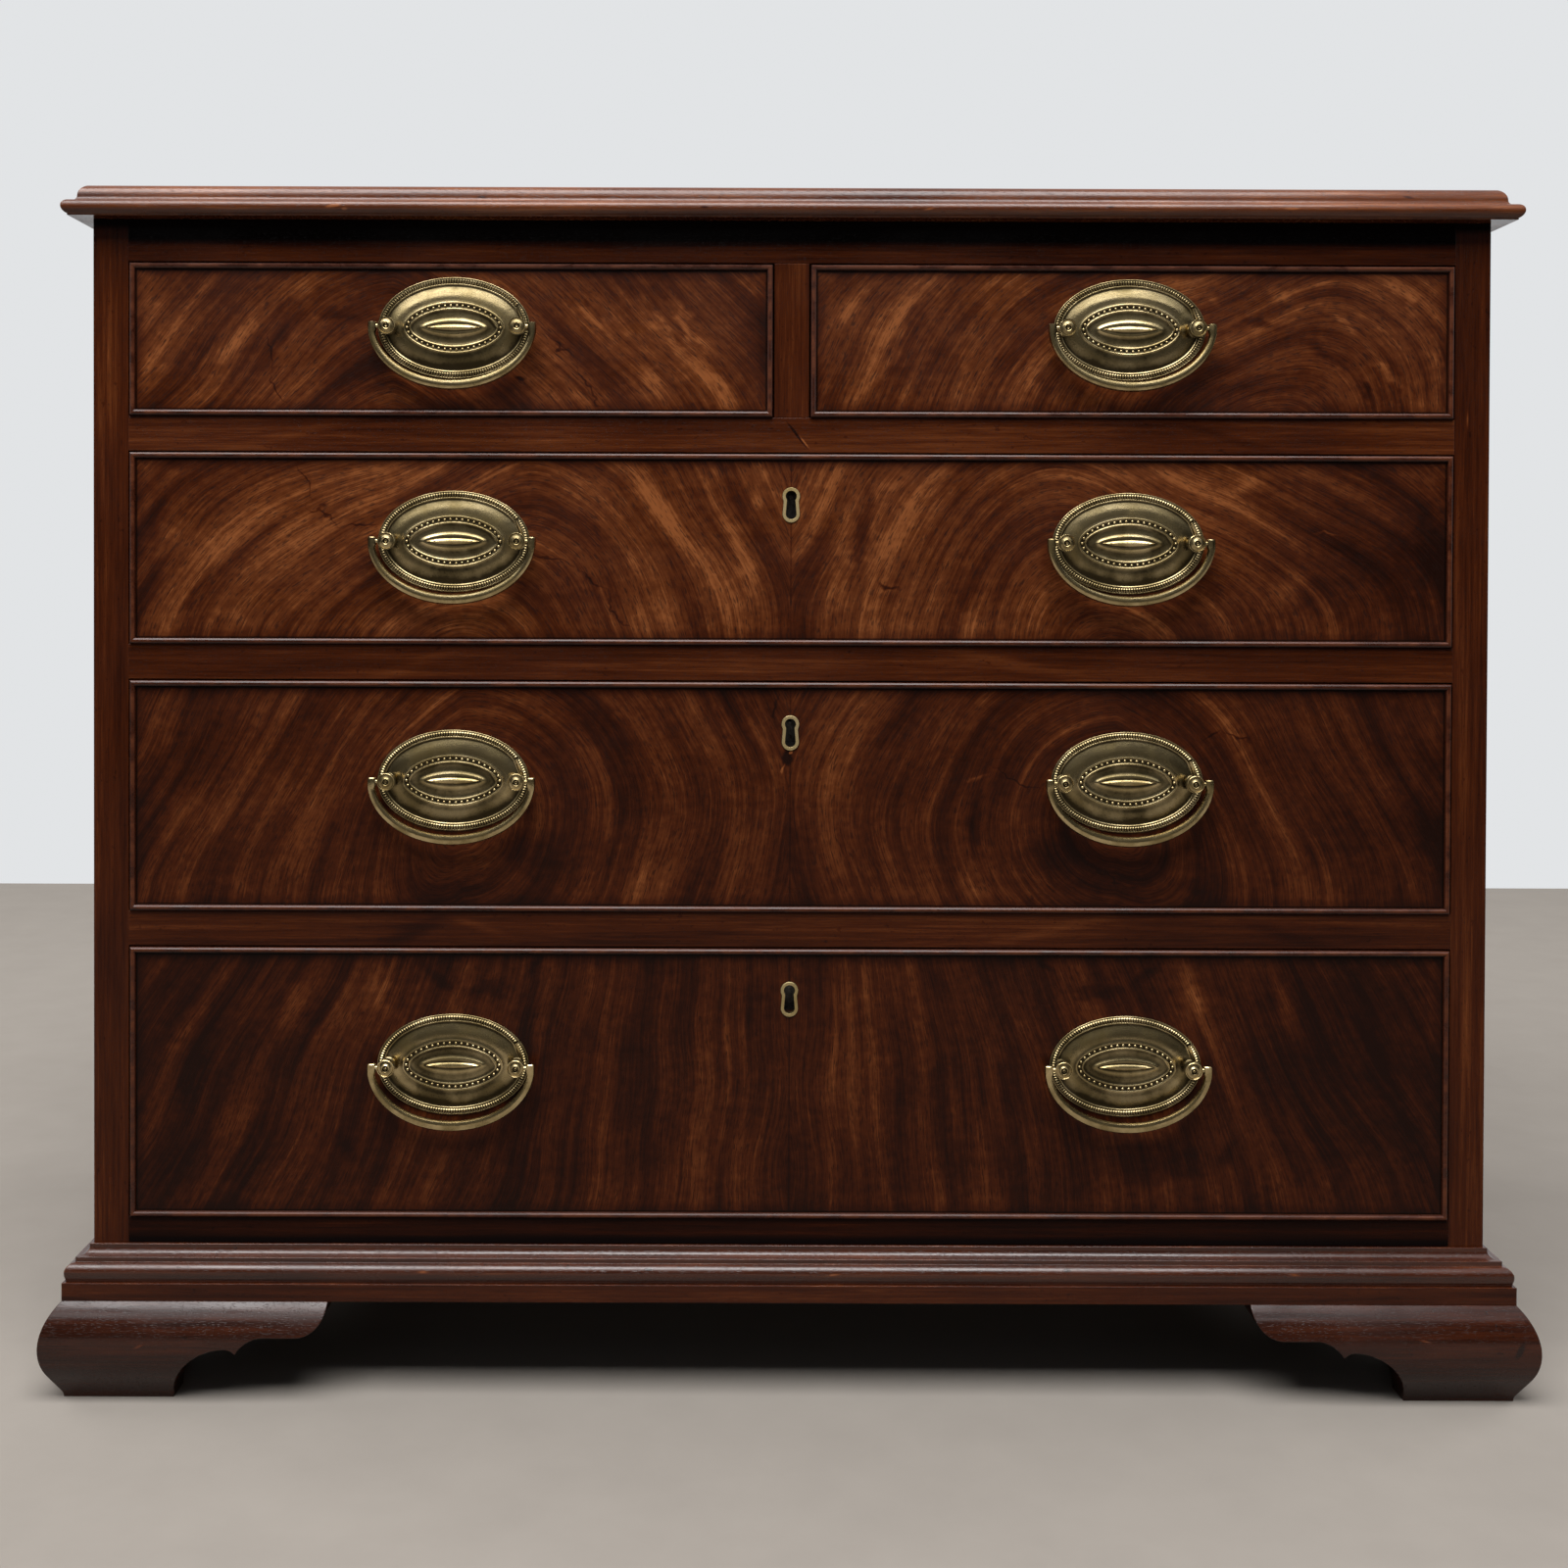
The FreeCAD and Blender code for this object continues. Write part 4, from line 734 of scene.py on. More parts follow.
def make_iron(name):
    """Dull lock iron with a trace of rust."""
    finish = new_finish(name)
    place = finish.place()
    rust = finish.between(finish.noise(place, 7, 4.0, 0.65), 0.50, 0.68)
    grey = finish.noise(place, 3, 3.0, 0.6)
    colour = finish.ramp(grey, ((0.3, IRON_DARK), (0.7, IRON_LIGHT)))
    colour = finish.mix(rust * 0.7, colour, RUST)
    return finish.surface(colour, 0.42 + rust * 0.35, grey, 0.1, Metallic=0.85)


def make_brass(name, brass, tarnish=0.3, dull=0.0):
    """Old brass: bright where it is rubbed, dark with patina in the hollows and with painted shade
    on the lower half of a plate's dome, with brown clouds of tarnish.
    """
    finish = new_finish(name)
    place = finish.place()
    # Patina in the hollows, and painted shade on the lower half of a plate's dome, as the points
    # keep it.
    hollow = finish.out(finish.node("ShaderNodeAttribute", attribute_name="hollow"), "Fac")
    clouds = finish.noise(place, 17, 3.0, 0.5)
    specks = finish.noise(place, 1.2, 3.0, 0.65)
    dark = hollow + finish.between(clouds, 0.36, 0.66) * tarnish
    dark = dark + finish.between(specks, 0.50, 0.70) * 0.14
    dark = finish.math("MINIMUM", dark, 1.0)
    clouded = tinted(brass.metal, CLOUDED_BRASS)
    colour = finish.ramp(clouds, ((0.3, brass.metal), (0.7, clouded)))
    colour = finish.mix(dark * 0.95, colour, brass.patina)
    roughness = finish.between(clouds, 0.3, 0.7, 0.14 + dull, 0.23 + dull) + dark * 0.20
    return finish.surface(colour, roughness, specks, 0.05, Metallic=1.0)


# ---- shapes

# Points nearer to each other than this are one point.
MERGE = 0.00001
LEAST_EDGE = 0.000001


def oval(half_width, half_height, point, turn):
    """A point on an oval. A point above 0 draws its two ends to a tip."""
    across, up = math.cos(turn), math.sin(turn)
    return half_width * across, half_height * up * (1 - point * across * across)


def even_turns(half_width, half_height, count):
    """Turns that are the same distance apart along an oval."""
    steps = 24 * count
    lengths = [0.0]
    last = oval(half_width, half_height, 0, 0)
    for step in range(1, steps + 1):
        here = oval(half_width, half_height, 0, math.tau * step / steps)
        lengths.append(lengths[-1] + math.dist(last, here))
        last = here
    turns, step = [], 0
    for index in range(count):
        while lengths[step + 1] <= lengths[-1] * index / count:
            step += 1
        turns.append(math.tau * step / steps)
    return turns


def fresh_mesh():
    """An empty mesh whose points keep how dark they are: patina in the hollows, and painted shade
    on the lower half of a plate's dome.
    """
    bm = bmesh.new()
    bm.verts.layers.float.new("hollow")
    return bm


def mark_patina_and_shade(bm, loops, hollow):
    """Marks how dark each point is with patina and painted shade, as the given function of (point,
    ring, index) says.
    """
    layer = bm.verts.layers.float["hollow"]
    for ring, loop in enumerate(loops):
        for index, vert in enumerate(loop):
            vert[layer] = hollow(vert.co, ring, index)


def kept(bm, name):
    """A mesh of what has been shaped."""
    mesh = bpy.data.meshes.new(name)
    bm.to_mesh(mesh)
    bm.free()
    return mesh


def set_down(bm, master, x, z):
    """A copy of a master, moved from the origin to its x and z."""
    before = len(bm.verts)
    bm.from_mesh(master)
    bm.verts.ensure_lookup_table()
    bmesh.ops.translate(bm, vec=(x, 0, z), verts=bm.verts[before:])


def loft(bm, count, rings, shape):
    """Rings of points, each extruded from the last, put in place by shape(ring, index)."""
    loop = bmesh.ops.create_circle(bm, segments=count, radius=1)["verts"]
    every = []
    for ring in range(rings):
        if ring:
            loop = extruded(bm, loop)
        for index, vert in enumerate(loop):
            vert.co = shape(ring, index)
        every.append(loop)
    return every


def extruded(bm, loop):
    """The ring of points that comes of extruding a ring's edges, in the same order."""
    ring = set(loop)
    edges = {edge for vert in loop for edge in vert.link_edges if edge.other_vert(vert) in ring}
    made = bmesh.ops.extrude_edge_only(bm, edges=list(edges))["geom"]
    fresh = {item for item in made if isinstance(item, bmesh.types.BMVert)}
    return [
        next(edge.other_vert(vert) for edge in vert.link_edges if edge.other_vert(vert) in fresh)
        for vert in loop
    ]


def rims(loops):
    """The open edges along rings of points, each once."""
    edges = [edge for loop in loops for vert in loop for edge in vert.link_edges]
    return [edge for edge in dict.fromkeys(edges) if edge.is_boundary]


def turned(bm, profile, centre, axis, steps):
    """A turned shape: a profile of radius and lift, spun round its axis."""
    side = Vector((0, 0, 1)) if abs(axis.z) < 0.5 else Vector((1, 0, 0))
    verts = [bm.verts.new(centre + side * radius + axis * lift) for radius, lift in profile]
    edges = [bm.edges.new(pair) for pair in zip(verts, verts[1:])]
    bmesh.ops.spin(
        bm, geom=verts + edges, cent=centre, axis=axis, angle=math.tau, steps=steps, use_merge=True
    )


def finished(bm, name, body, material, node, shade_angle=32.0):
    """The mesh as a piece that rides on its body and stands for a node, with its faces outwards.

    Edges stay crisp where their faces turn by more than the shade angle."""
    bmesh.ops.scale(bm, vec=(MM, MM, MM), verts=bm.verts)
    bmesh.ops.remove_doubles(bm, verts=bm.verts, dist=MERGE)
    bmesh.ops.dissolve_degenerate(bm, edges=bm.edges, dist=LEAST_EDGE)
    bmesh.ops.recalc_face_normals(bm, faces=bm.faces)
    limit = math.radians(shade_angle)
    for face in bm.faces:
        face.smooth = True
    for edge in bm.edges:
        edge.smooth = not (edge.is_manifold and edge.calc_face_angle(0) > limit)
    mesh = kept(bm, name)
    mesh.materials.append(material)
    piece = bpy.data.objects.new(name, mesh)
    bpy.context.scene.collection.objects.link(piece)
    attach(piece, body)
    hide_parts(node)


# ---- brasses

# Half width, half height, tip, lift above the drawer's face, and how dark the hollow is.
PLATE_RINGS = (
    (52.2, 34.8, 0, 0, 0.9), (52.2, 34.8, 0, 0.8, 0.5), (51.95, 34.55, 0, 1.05, 0.1),
    (51.45, 34.05, 0, 1.05, 0.3), (51.25, 33.85, 0, 0.85, 0.9), (50.75, 33.35, 0, 1.1, "ridge"),
    (50.05, 32.65, 0, 1.5, "ridge"), (49.2, 31.8, 0, 1.55, "ridge"),
    (48.45, 31.05, 0, 1.15, "ridge"), (48.1, 30.7, 0, 0.8, 0.9), (47.75, 30.35, 0, 1.15, 0.1),
    (47.4, 30, 0, 1.25, 0), (47.05, 29.65, 0, 1.05, 0.3), (46.7, 29.3, 0, 0.7, 1),
    (46.1, 28.7, 0, 0.65, 0.9), (45.3, 27.9, 0, 0.9, 0.55), (44, 26.6, 0.01, 1.3, 0.35),
    (42.4, 25.1, 0.02, 1.75, 0.15), (40.6, 23.4, 0.03, 2.2, 0), (38.8, 21.6, 0.05, 2.55, 0),
    (36.9, 19.8, 0.08, 2.75, 0.2), (35.2, 18.2, 0.11, 2.8, 0.6), (34.6, 17.6, 0.12, 3.05, 0.2),
    (34.2, 17.2, 0.12, 3.2, 0), (33.7, 16.75, 0.13, 3.1, 0.2), (33.3, 16.4, 0.13, 2.75, 0.9),
    (32.1, 15.1, 0.14, 2.6, 1), (30.7, 13.7, 0.15, 2.65, 1), (30.35, 13.3, 0.15, 3.05, 0.3),
    (30, 12.95, 0.15, 3.2, 0), (29.6, 12.55, 0.15, 3.05, 0.2), (29.1, 12.1, 0.16, 2.7, 0.8),
    (26.8, 10.1, 0.17, 2.6, 0.55), (23.6, 7.3, 0.18, 2.65, 0.65), (22.4, 6.1, 0.19, 2.95, 0.35),
    (21.4, 5.2, 0.2, 3.45, 0.05), (20.4, 4.4, 0.2, 3.7, 0.05), (19.4, 3.1, 0.22, 3.6, 0.6),
    (18.6, 2.2, 0.25, 3.55, 0.9), (18.3, 1.75, 0.3, 3.9, 0.2), (17.6, 1.05, 0.35, 4.35, 0),
    (16.2, 0, 0.4, 4.6, 0),
)
RIDGE_HEIGHT = 0.75
BEAD_RING = (32.10, 15.10, 0.14, 2.55)
BEAD_RADIUS = 1.12
BEAD_HOLLOW = 0.8
# The dome lies between these half widths. Below the middle, under the bail, it gets painted shade,
# darkest at the bottom, where the dome faces down.
DOME = (36.0, 46.5)
LOW_DOME_SHADE = 0.55

# Radius and lift of a post, from the plate to the middle of its rosette.
POST_PROFILE = (
    (3.6, 1.00), (4.9, 1.00), (5.1, 1.50), (4.6, 2.10), (3.5, 2.50), (3.1, 3.20), (3.1, 4.60),
    (3.6, 5.40), (5.0, 6.00), (5.60, 6.60), (5.80, 7.40), (5.80, 12.10), (5.95, 12.40),
    (5.95, 12.80), (5.70, 13.05), (5.35, 13.05), (5.05, 12.75), (4.85, 12.35), (3.20, 12.60),
    (2.90, 12.85), (2.65, 13.30), (2.35, 13.50), (2.05, 13.35), (1.85, 12.90), (1.60, 12.60),
    (1.30, 12.65), (1.10, 13.20), (0.80, 13.55), (0.55, 13.45), (0.40, 13.10), (0.0, 13.00),
)
# The face of a rosette is lifted more than this. Between these radii it is dark, and how dark.
ROSETTE_LIFT = 12.0
POST_HOLLOWS = ((0.0, 0.5, 0.9), (1.2, 1.95, 1.0), (2.9, 4.7, 0.30))
POST_SIDE_HOLLOW = 0.7

# The nut lies against the back of the drawer's front.
NUT_SEAT = 22.0
NUT_PROFILE = ((2.4, 0.0), (5.4, 0.0), (5.5, 0.3), (5.5, 3.4), (5.1, 4.0), (2.4, 4.0), (2.4, 0.0))
SHANK_PROFILE = ((0.0, -0.4), (1.9, -0.4), (1.9, 4.8), (1.5, 5.2), (0.0, 5.2))


def plate_master(brass):
    """A stamped oval plate: a ridged border, a dished dome, a ring of beads and a boss."""
    bm = fresh_mesh()
    for turn in even_turns(*BEAD_RING[:2], brass.beads):
        across, up = oval(*BEAD_RING[:3], turn)
        where = Matrix.Translation((across, FRONT - BEAD_RING[3], up))
        bead = bmesh.ops.create_uvsphere(
            bm, u_segments=8, v_segments=5, radius=BEAD_RADIUS, matrix=where
        )["verts"]
        crown = FRONT - BEAD_RING[3] - 0.2
        mark_patina_and_shade(bm, [bead], lambda point, *_: 0.0 if point.y < crown else BEAD_HOLLOW)
    count = 2 * brass.ridges
    turns = even_turns(*PLATE_RINGS[0][:2], count)

    def shape(ring, index):
        *outline, lift, hollow = PLATE_RINGS[ring]
        across, up = oval(*outline, turns[index])
        if hollow == "ridge":
            lift += RIDGE_HEIGHT * (index % 2)
        return Vector((across, FRONT - lift, up))

    def dark(_, ring, index):
        half_width, hollow = PLATE_RINGS[ring][0], PLATE_RINGS[ring][-1]
        if hollow == "ridge":
            return 1.0 - index % 2
        # Painted shade on the lower half of the dome, growing towards the bottom.
        low = LOW_DOME_SHADE if DOME[0] < half_width < DOME[1] else 0.0
        return min(1.0, hollow + low * max(0.0, -math.sin(turns[index])))

    loops = loft(bm, count, len(PLATE_RINGS), shape)
    mark_patina_and_shade(bm, loops, dark)
    bmesh.ops.holes_fill(bm, edges=rims(loops[:1]), sides=0)
    return kept(bm, "plate")


def post_master():
    """A turned post, with rings and a nipple on the rosette."""
    bm = fresh_mesh()
    turned(bm, POST_PROFILE, Vector((0, FRONT, 0)), Vector((0, -1, 0)), 40)

    def dark(point, *_):
        if FRONT - point.y <= ROSETTE_LIFT:
            return POST_SIDE_HOLLOW
        radius = math.hypot(point.x, point.z)
        return sum(level for low, high, level in POST_HOLLOWS if low <= radius <= high)

    mark_patina_and_shade(bm, [bm.verts], dark)
    return kept(bm, "post")


def nut_master():
    """The nut of a post and the end of its shank, behind the drawer's front."""
    bm = fresh_mesh()
    centre = Vector((0, FRONT + NUT_SEAT, 0))
    back = Vector((0, 1, 0))
    turned(bm, NUT_PROFILE, centre, back, 6)
    turned(bm, SHANK_PROFILE, centre, back, 20)
    return kept(bm, "nut")


# ---- bails

# Half the width of a bail over its horns, and how far it hangs below its pivots.
BAIL_HALF = 57.5
BAIL_DROP = 43.4
BAIL_THICKNESS = 4.8
# Width of the bow beside the horns, and how much wider it is at the grip.
BOW_WIDTH = 4.8
GRIP_SWELL = 2.2
BOW_STEPS = 36
# The bow starts below this level. Above it is the right horn, from its top down: the middle of the
# section, which way the bail runs, its width, and its thickness from front to back.
BOW_TOP = -5.2
HORN = (
    ((54.35, 2.9), (0, 1), 5.4, 3.6),
    ((54.35, 2.35), (0, 1), 6.2, 4.6),
    ((54.35, 0.0), (0, 1), 6.3, 5.0),
    ((54.45, -2.6), (0, 1), 6.0, 5.0),
    ((54.75, -4.4), (0.06, 1), 5.1, 4.8),
)
# How square the section is: 0 is round and 1 is square.
SQUARENESS = 0.18
BACK_HOLLOW = 0.35
# A pin starts inside its horn and points inwards. Its profile is radius and lift.
PIN_ROOT = 53.0
PIN_PROFILE = ((0.0, 0.0), (1.6, 0.0), (1.6, 9.6), (1.3, 10.0), (0.0, 10.0))


def bail_stations():
    """Where the bail's section goes, from the top of the right horn to that of the left one."""
    bow = []
    for step in range(1, BOW_STEPS):
        turn = math.pi * step / BOW_STEPS
        width = BOW_WIDTH + GRIP_SWELL * math.sin(turn) ** 1.6
        half_width, half_drop = BAIL_HALF - width / 2, BAIL_DROP - width / 2
        across, up = half_width * math.cos(turn), -half_drop * math.sin(turn)
        if up <= BOW_TOP:
            run = (half_width * math.sin(turn), half_drop * math.cos(turn))
            bow.append(((across, up), run, width, BAIL_THICKNESS))
    left = [((-x, z), (-dx, -dz), width, thick) for (x, z), (dx, dz), width, thick in HORN]
    return [*HORN, *bow, *reversed(left)]


def bail_master():
    """A cast bail: a rounded bar, thickest at the grip, with square horns and two pins."""
    bm = fresh_mesh()
    stations = bail_stations()
    pivot = FRONT - PIVOT_LIFT
    count = 16

    def shape(ring, index):
        (across, up), (dx, dz), width, thick = stations[ring]
        turn = math.tau * index / count
        side, out = math.cos(turn), math.sin(turn)
        squared = max(abs(side), abs(out)) ** SQUARENESS
        reach = Vector((dz, -dx)).normalized() * side / squared * width / 2
        return Vector((across + reach.x, pivot + out / squared * thick / 2, up + reach.y))

    loops = loft(bm, count, len(stations), shape)
    for loop in (loops[0], loops[-1]):
        bmesh.ops.holes_fill(bm, edges=rims([loop]), sides=0)
    mark_patina_and_shade(bm, loops, lambda point, *_: 0.0 if point.y < pivot else BACK_HOLLOW)
    for side in (-1, 1):
        root = Vector((side * PIN_ROOT, pivot, 0))
        turned(bm, PIN_PROFILE, root, Vector((-side, 0, 0)), 16)
    return kept(bm, "bail")


# ---- escutcheons

# A keyhole's middle is this far below the top of the drawer's face. It has a round head and foot,
# each with its radius and its level from the middle, and a waist that flares towards the foot.
KEYHOLE_DROP = 35.0
KEYHOLE_HALF = 9.75
KEY_HEAD, KEY_HEAD_LEVEL = 3.7, 6.05
KEY_FOOT, KEY_FOOT_LEVEL = 3.6, -6.15
KEY_WAIST, KEY_WAIST_TOP = 2.75, 3.57
# The section of the brass: how far from the keyhole's edge, and how far off the drawer's face.
THREAD = ((0.0, -4.2), (0.0, 0.55), (0.25, 0.8), (2.1, 0.8), (2.4, 0.55), (2.4, -4.2))
THREAD_FACE = (2, 3)
THREAD_HOLLOW = 0.8


def keyhole_half(level, margin):
    """Half the width of a keyhole: a round head over a waist that flares to a round foot."""
    head, foot = KEY_HEAD + margin, KEY_FOOT + margin
    if level < KEY_FOOT_LEVEL:
        return math.sqrt(max(0.0, foot * foot - (level - KEY_FOOT_LEVEL) ** 2))
    round_head = math.sqrt(max(0.0, head * head - (level - KEY_HEAD_LEVEL) ** 2))
    if level > KEY_HEAD_LEVEL:
        return round_head
    flare = (KEY_WAIST_TOP - level) / (KEY_WAIST_TOP - KEY_FOOT_LEVEL)
    return max(round_head, KEY_WAIST + (KEY_FOOT - KEY_WAIST) * flare + margin)


def add_escutcheon(bm, z):
    """A thread escutcheon let in round the keyhole."""
    count = 64

    def shape(ring, index):
        margin, lift = THREAD[ring]
        turn = math.tau * index / count
        level = math.sin(turn) * (KEYHOLE_HALF + margin)
        half = math.copysign(keyhole_half(level, margin), math.cos(turn))
        return Vector((half, FRONT - lift, z + level))

    loops = loft(bm, count, len(THREAD), shape)
    bmesh.ops.bridge_loops(bm, edges=rims((loops[0], loops[-1])))
    depths = [0.0 if ring in THREAD_FACE else THREAD_HOLLOW for ring in range(len(THREAD))]
    mark_patina_and_shade(bm, loops, lambda _, ring, index: depths[ring])


# ---- stage

SENSOR_WIDTH = 36.0
FLOOR_SIZE = 24.0
FLAG_DARK, FLAG_LIGHT = (0.085, 0.080, 0.072), (0.105, 0.100, 0.090)
# Shares of the floor's colour: its palest and darkest dust, and what it throws back up.
FLOOR_TONES = (0.97, 1.03)
FLOOR_GLOW = 0.45


def set_camera(context, stage):
    """The camera, level but for a slight tilt and roll, with a shifted lens."""
    data = bpy.data.cameras.new("camera")
    data.lens = stage.lens
    data.sensor_width = SENSOR_WIDTH
    data.shift_x, data.shift_y = stage.shift
    camera = bpy.data.objects.new("camera", data)
    turn = Matrix.Rotation(math.pi / 2 - stage.tilt, 4, "X") @ Matrix.Rotation(stage.roll, 4, "Z")
    camera.matrix_world = Matrix.Translation(stage.camera_place) @ turn
    context.scene.collection.objects.link(camera)
    context.scene.camera = camera


def seen_rays(finish):
    """1 for rays that show the background, straight or in a gloss, and 0 for rays that light."""
    path = finish.node("ShaderNodeLightPath")
    seen = [finish.out(path, f"Is {kind} Ray") for kind in ("Camera", "Glossy", "Transmission")]
    return finish.math("ADD", seen[0] + seen[1], seen[2], clamp=True)


def hide_from(thing, *rays):
    for ray in rays:
        setattr(thing, f"visible_{ray}", False)


def add_sheet(context, name, material, size, place, upright=False):
    """A flat sheet of the stage."""
    bm = bmesh.new()
    bmesh.ops.create_grid(bm, x_segments=8, y_segments=8, size=0.5)
    bmesh.ops.scale(bm, vec=(*size, 1), verts=bm.verts)
    if upright:
        turn = Matrix.Rotation(math.pi / 2, 3, "X")
        bmesh.ops.rotate(bm, cent=(0, 0, 0), matrix=turn, verts=bm.verts)
    bmesh.ops.translate(bm, vec=place, verts=bm.verts)
    mesh = kept(bm, name)
    mesh.materials.append(material)
    sheet = bpy.data.objects.new(name, mesh)
    context.scene.collection.objects.link(sheet)
    return sheet


def lay_floor(context, stage):
    """A plain pale floor, which throws little light back up."""
    finish = new_finish("floor_plain")
    dust = finish.noise(finish.place(), 60, 4.0, 0.6)
    dark, light = (tinted(stage.floor_colour, (share,) * 3) for share in FLOOR_TONES)
    colour = finish.ramp(dust, ((0.3, dark), (0.7, light)))
    thrown_back = tinted(stage.floor_colour, (FLOOR_GLOW,) * 3)
    colour = finish.mix(seen_rays(finish), thrown_back, colour)
    material = finish.surface(colour, 0.7, Specular_IOR_Level=0.1)
    middle = (0, stage.floor_end - FLOOR_SIZE / 2, 0)
    add_sheet(context, "floor", material, (FLOOR_SIZE, FLOOR_SIZE), middle)


def hang_flag(context):
    """A dim sheet in front, which only the glosses see, so that the polish stays deep."""
    finish = new_finish("flag_dim")
    weave = finish.noise(finish.place(), 40, 2.0, 0.5)
    colour = finish.ramp(weave, ((0.3, FLAG_DARK), (0.7, FLAG_LIGHT)))
    material = finish.surface(colour, 0.9, Specular_IOR_Level=0.0)
    flag = add_sheet(context, "flag", material, (16, 3.4), (0, -4.0, 1.7), upright=True)
    hide_from(flag, "camera", "diffuse", "shadow", "transmission")


def paint_world(context, stage):
    """The pale backdrop, and a little light from all round."""
    finish = Finish(bpy.data.worlds.new("backdrop"))
    strength = finish.blend(seen_rays(finish), stage.fill_light, 1.0)
    inputs = {"Color": (*stage.backdrop_colour, 1.0), "Strength": strength}
    sky = finish.out(finish.node("ShaderNodeBackground", inputs))
    finish.node("ShaderNodeOutputWorld", {"Surface": sky})
    context.scene.world = finish.owner


def hang_lamp(context, name, place, aim, size, power):
    """A rectangular lamp that hangs at a place and shines at a point."""
    light = bpy.data.lights.new(name, "AREA")
    light.shape = "RECTANGLE"
    light.size, light.size_y = size
    light.energy = power
    lamp = bpy.data.objects.new(name, light)
    turn = (Vector(aim) - Vector(place)).to_track_quat("-Z", "Y").to_matrix().to_4x4()
    lamp.matrix_world = Matrix.Translation(place) @ turn
    context.scene.collection.objects.link(lamp)
    return lamp


# ---- operators


def paint(material, *nodes):
    """Gives CAD nodes their finish."""
    for node in nodes:
        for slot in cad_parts[node].material_slots:
            slot.material = material


def set_on_drawer(kind, row, master, asides, material, shade_angle=32.0):
    """One piece of all the copies of a master on a drawer, each aside from a handle's middle."""
    bm = fresh_mesh()
    for x in row.handles.values():
        for aside in asides:
            set_down(bm, master, x + aside, row.handle_level)
    name = f"{kind}_{row.name}"
    finished(bm, name, row.body, material, f"{row.node}_brasses", shade_angle)


class ChestOperator:
    """What the chest's operators share"""

    bl_options = {"REGISTER", "UNDO"}


class CHEST_OT_stage(ChestOperator, bpy.types.Operator):
    """Sets the camera, the floor, the backdrop and the lights"""

    bl_idname = "chest.stage"
    bl_label = "Stage"

    def execute(self, context):
        stage = context.scene.chest_stage
        set_camera(context, stage)
        lay_floor(context, stage)
        hang_flag(context)
        paint_world(context, stage)
        above, below = (-0.35, -1.45, 3.0), (-0.35, -1.25, 0)
        hang_lamp(context, "lamp_over", above, below, (3.0, 1.9), stage.soft_light)
        places = {"left": (-2.9, 0.9, 1.7), "right": (2.9, 0.9, 1.7), "back": (0, 3.2, 1.8)}
        for side, place in places.items():
            aim, size = (0, 0.1, 0.4), (1.6, 1.6)
            lamp = hang_lamp(context, f"lamp_{side}", place, aim, size, stage.side_light)
            hide_from(lamp, "glossy")
        ahead, aim = (-0.3, -4.0, 2.9), (0, 0, 0.3)
        gleam = hang_lamp(context, "lamp_gleam", ahead, aim, (6.0, 1.2), stage.gleam_light)
        hide_from(gleam, "diffuse")
        return {"FINISHED"}


class CHEST_OT_carcase(ChestOperator, bpy.types.Operator):
    """Polishes the mahogany of the carcase, piece by piece, with the grain along each"""

    bl_idname = "chest.carcase"
    bl_label = "Carcase mahogany"

    def execute(self, context):
        for name, polish in CARCASE.items():
            paint(make_mahogany(name, context.scene.chest_woods, polish), *polish.nodes)
        return {"FINISHED"}


class CHEST_OT_linings(ChestOperator, bpy.types.Operator):
    """Gives the oak inside and behind its dry, dusty surface"""

    bl_idname = "chest.linings"
    bl_label = "Oak linings"

    def execute(self, context):
        colours = context.scene.chest_woods
        boxes = [f"{row.node}_box" for row in ROWS]
        bottoms = [f"{row.node}_bottom" for row in ROWS]
        across = make_oak("oak_across", colours, "x")
        paint(across, "dustboards", "bottom_board", "drawer_stops", *boxes)
        paint(make_oak("oak_deep", colours, "y"), "drawer_runners", *bottoms)
        paint(make_oak("oak_upright", colours, "z", 0.4, BACK_JOINTS), "backboards")
        return {"FINISHED"}


class CHEST_OT_fronts(ChestOperator, bpy.types.Operator):
    """Lays the flame veneer on the drawer fronts and polishes the cockbeads"""

    bl_idname = "chest.fronts"
    bl_label = "Drawer fronts"

    def execute(self, context):
        colours = context.scene.chest_woods
        paint(make_bead_wood("mahogany_beads", colours), *(f"{row.node}_cockbead" for row in ROWS))
        for row in ROWS:
            paint(make_veneer(f"veneer_{row.name}", colours, row), f"{row.node}_front")
        return {"FINISHED"}


class CHEST_OT_locks(ChestOperator, bpy.types.Operator):
    """Gives the locks and their bolts the look of old iron"""

    bl_idname = "chest.locks"
    bl_label = "Locks"

    def execute(self, context):
        iron = make_iron("iron_old")
        for row in ROWS:
            if row.locked:
                paint(iron, f"{row.node}_lock", f"bolt_{row.name}")
        return {"FINISHED"}


class CHEST_OT_plates(ChestOperator, bpy.types.Operator):
    """Stamps the oval plates and sets them on the drawers"""

    bl_idname = "chest.plates"
    bl_label = "Handle plates"

    def execute(self, context):
        brass = context.scene.chest_brass
        material = make_brass("brass_plates", brass)
        master = plate_master(brass)
        for row in ROWS:
            set_on_drawer("plates", row, master, (0,), material, 50.0)
        return {"FINISHED"}


class CHEST_OT_posts(ChestOperator, bpy.types.Operator):
    """Turns the posts and their nuts"""

    bl_idname = "chest.posts"
    bl_label = "Handle posts"

    def execute(self, context):
        material = make_brass("brass_posts", context.scene.chest_brass)
        masters = {"posts": post_master(), "nuts": nut_master()}
        for row in ROWS:
            for kind, master in masters.items():
                set_on_drawer(kind, row, master, (-HALF_BORE, HALF_BORE), material)
        return {"FINISHED"}


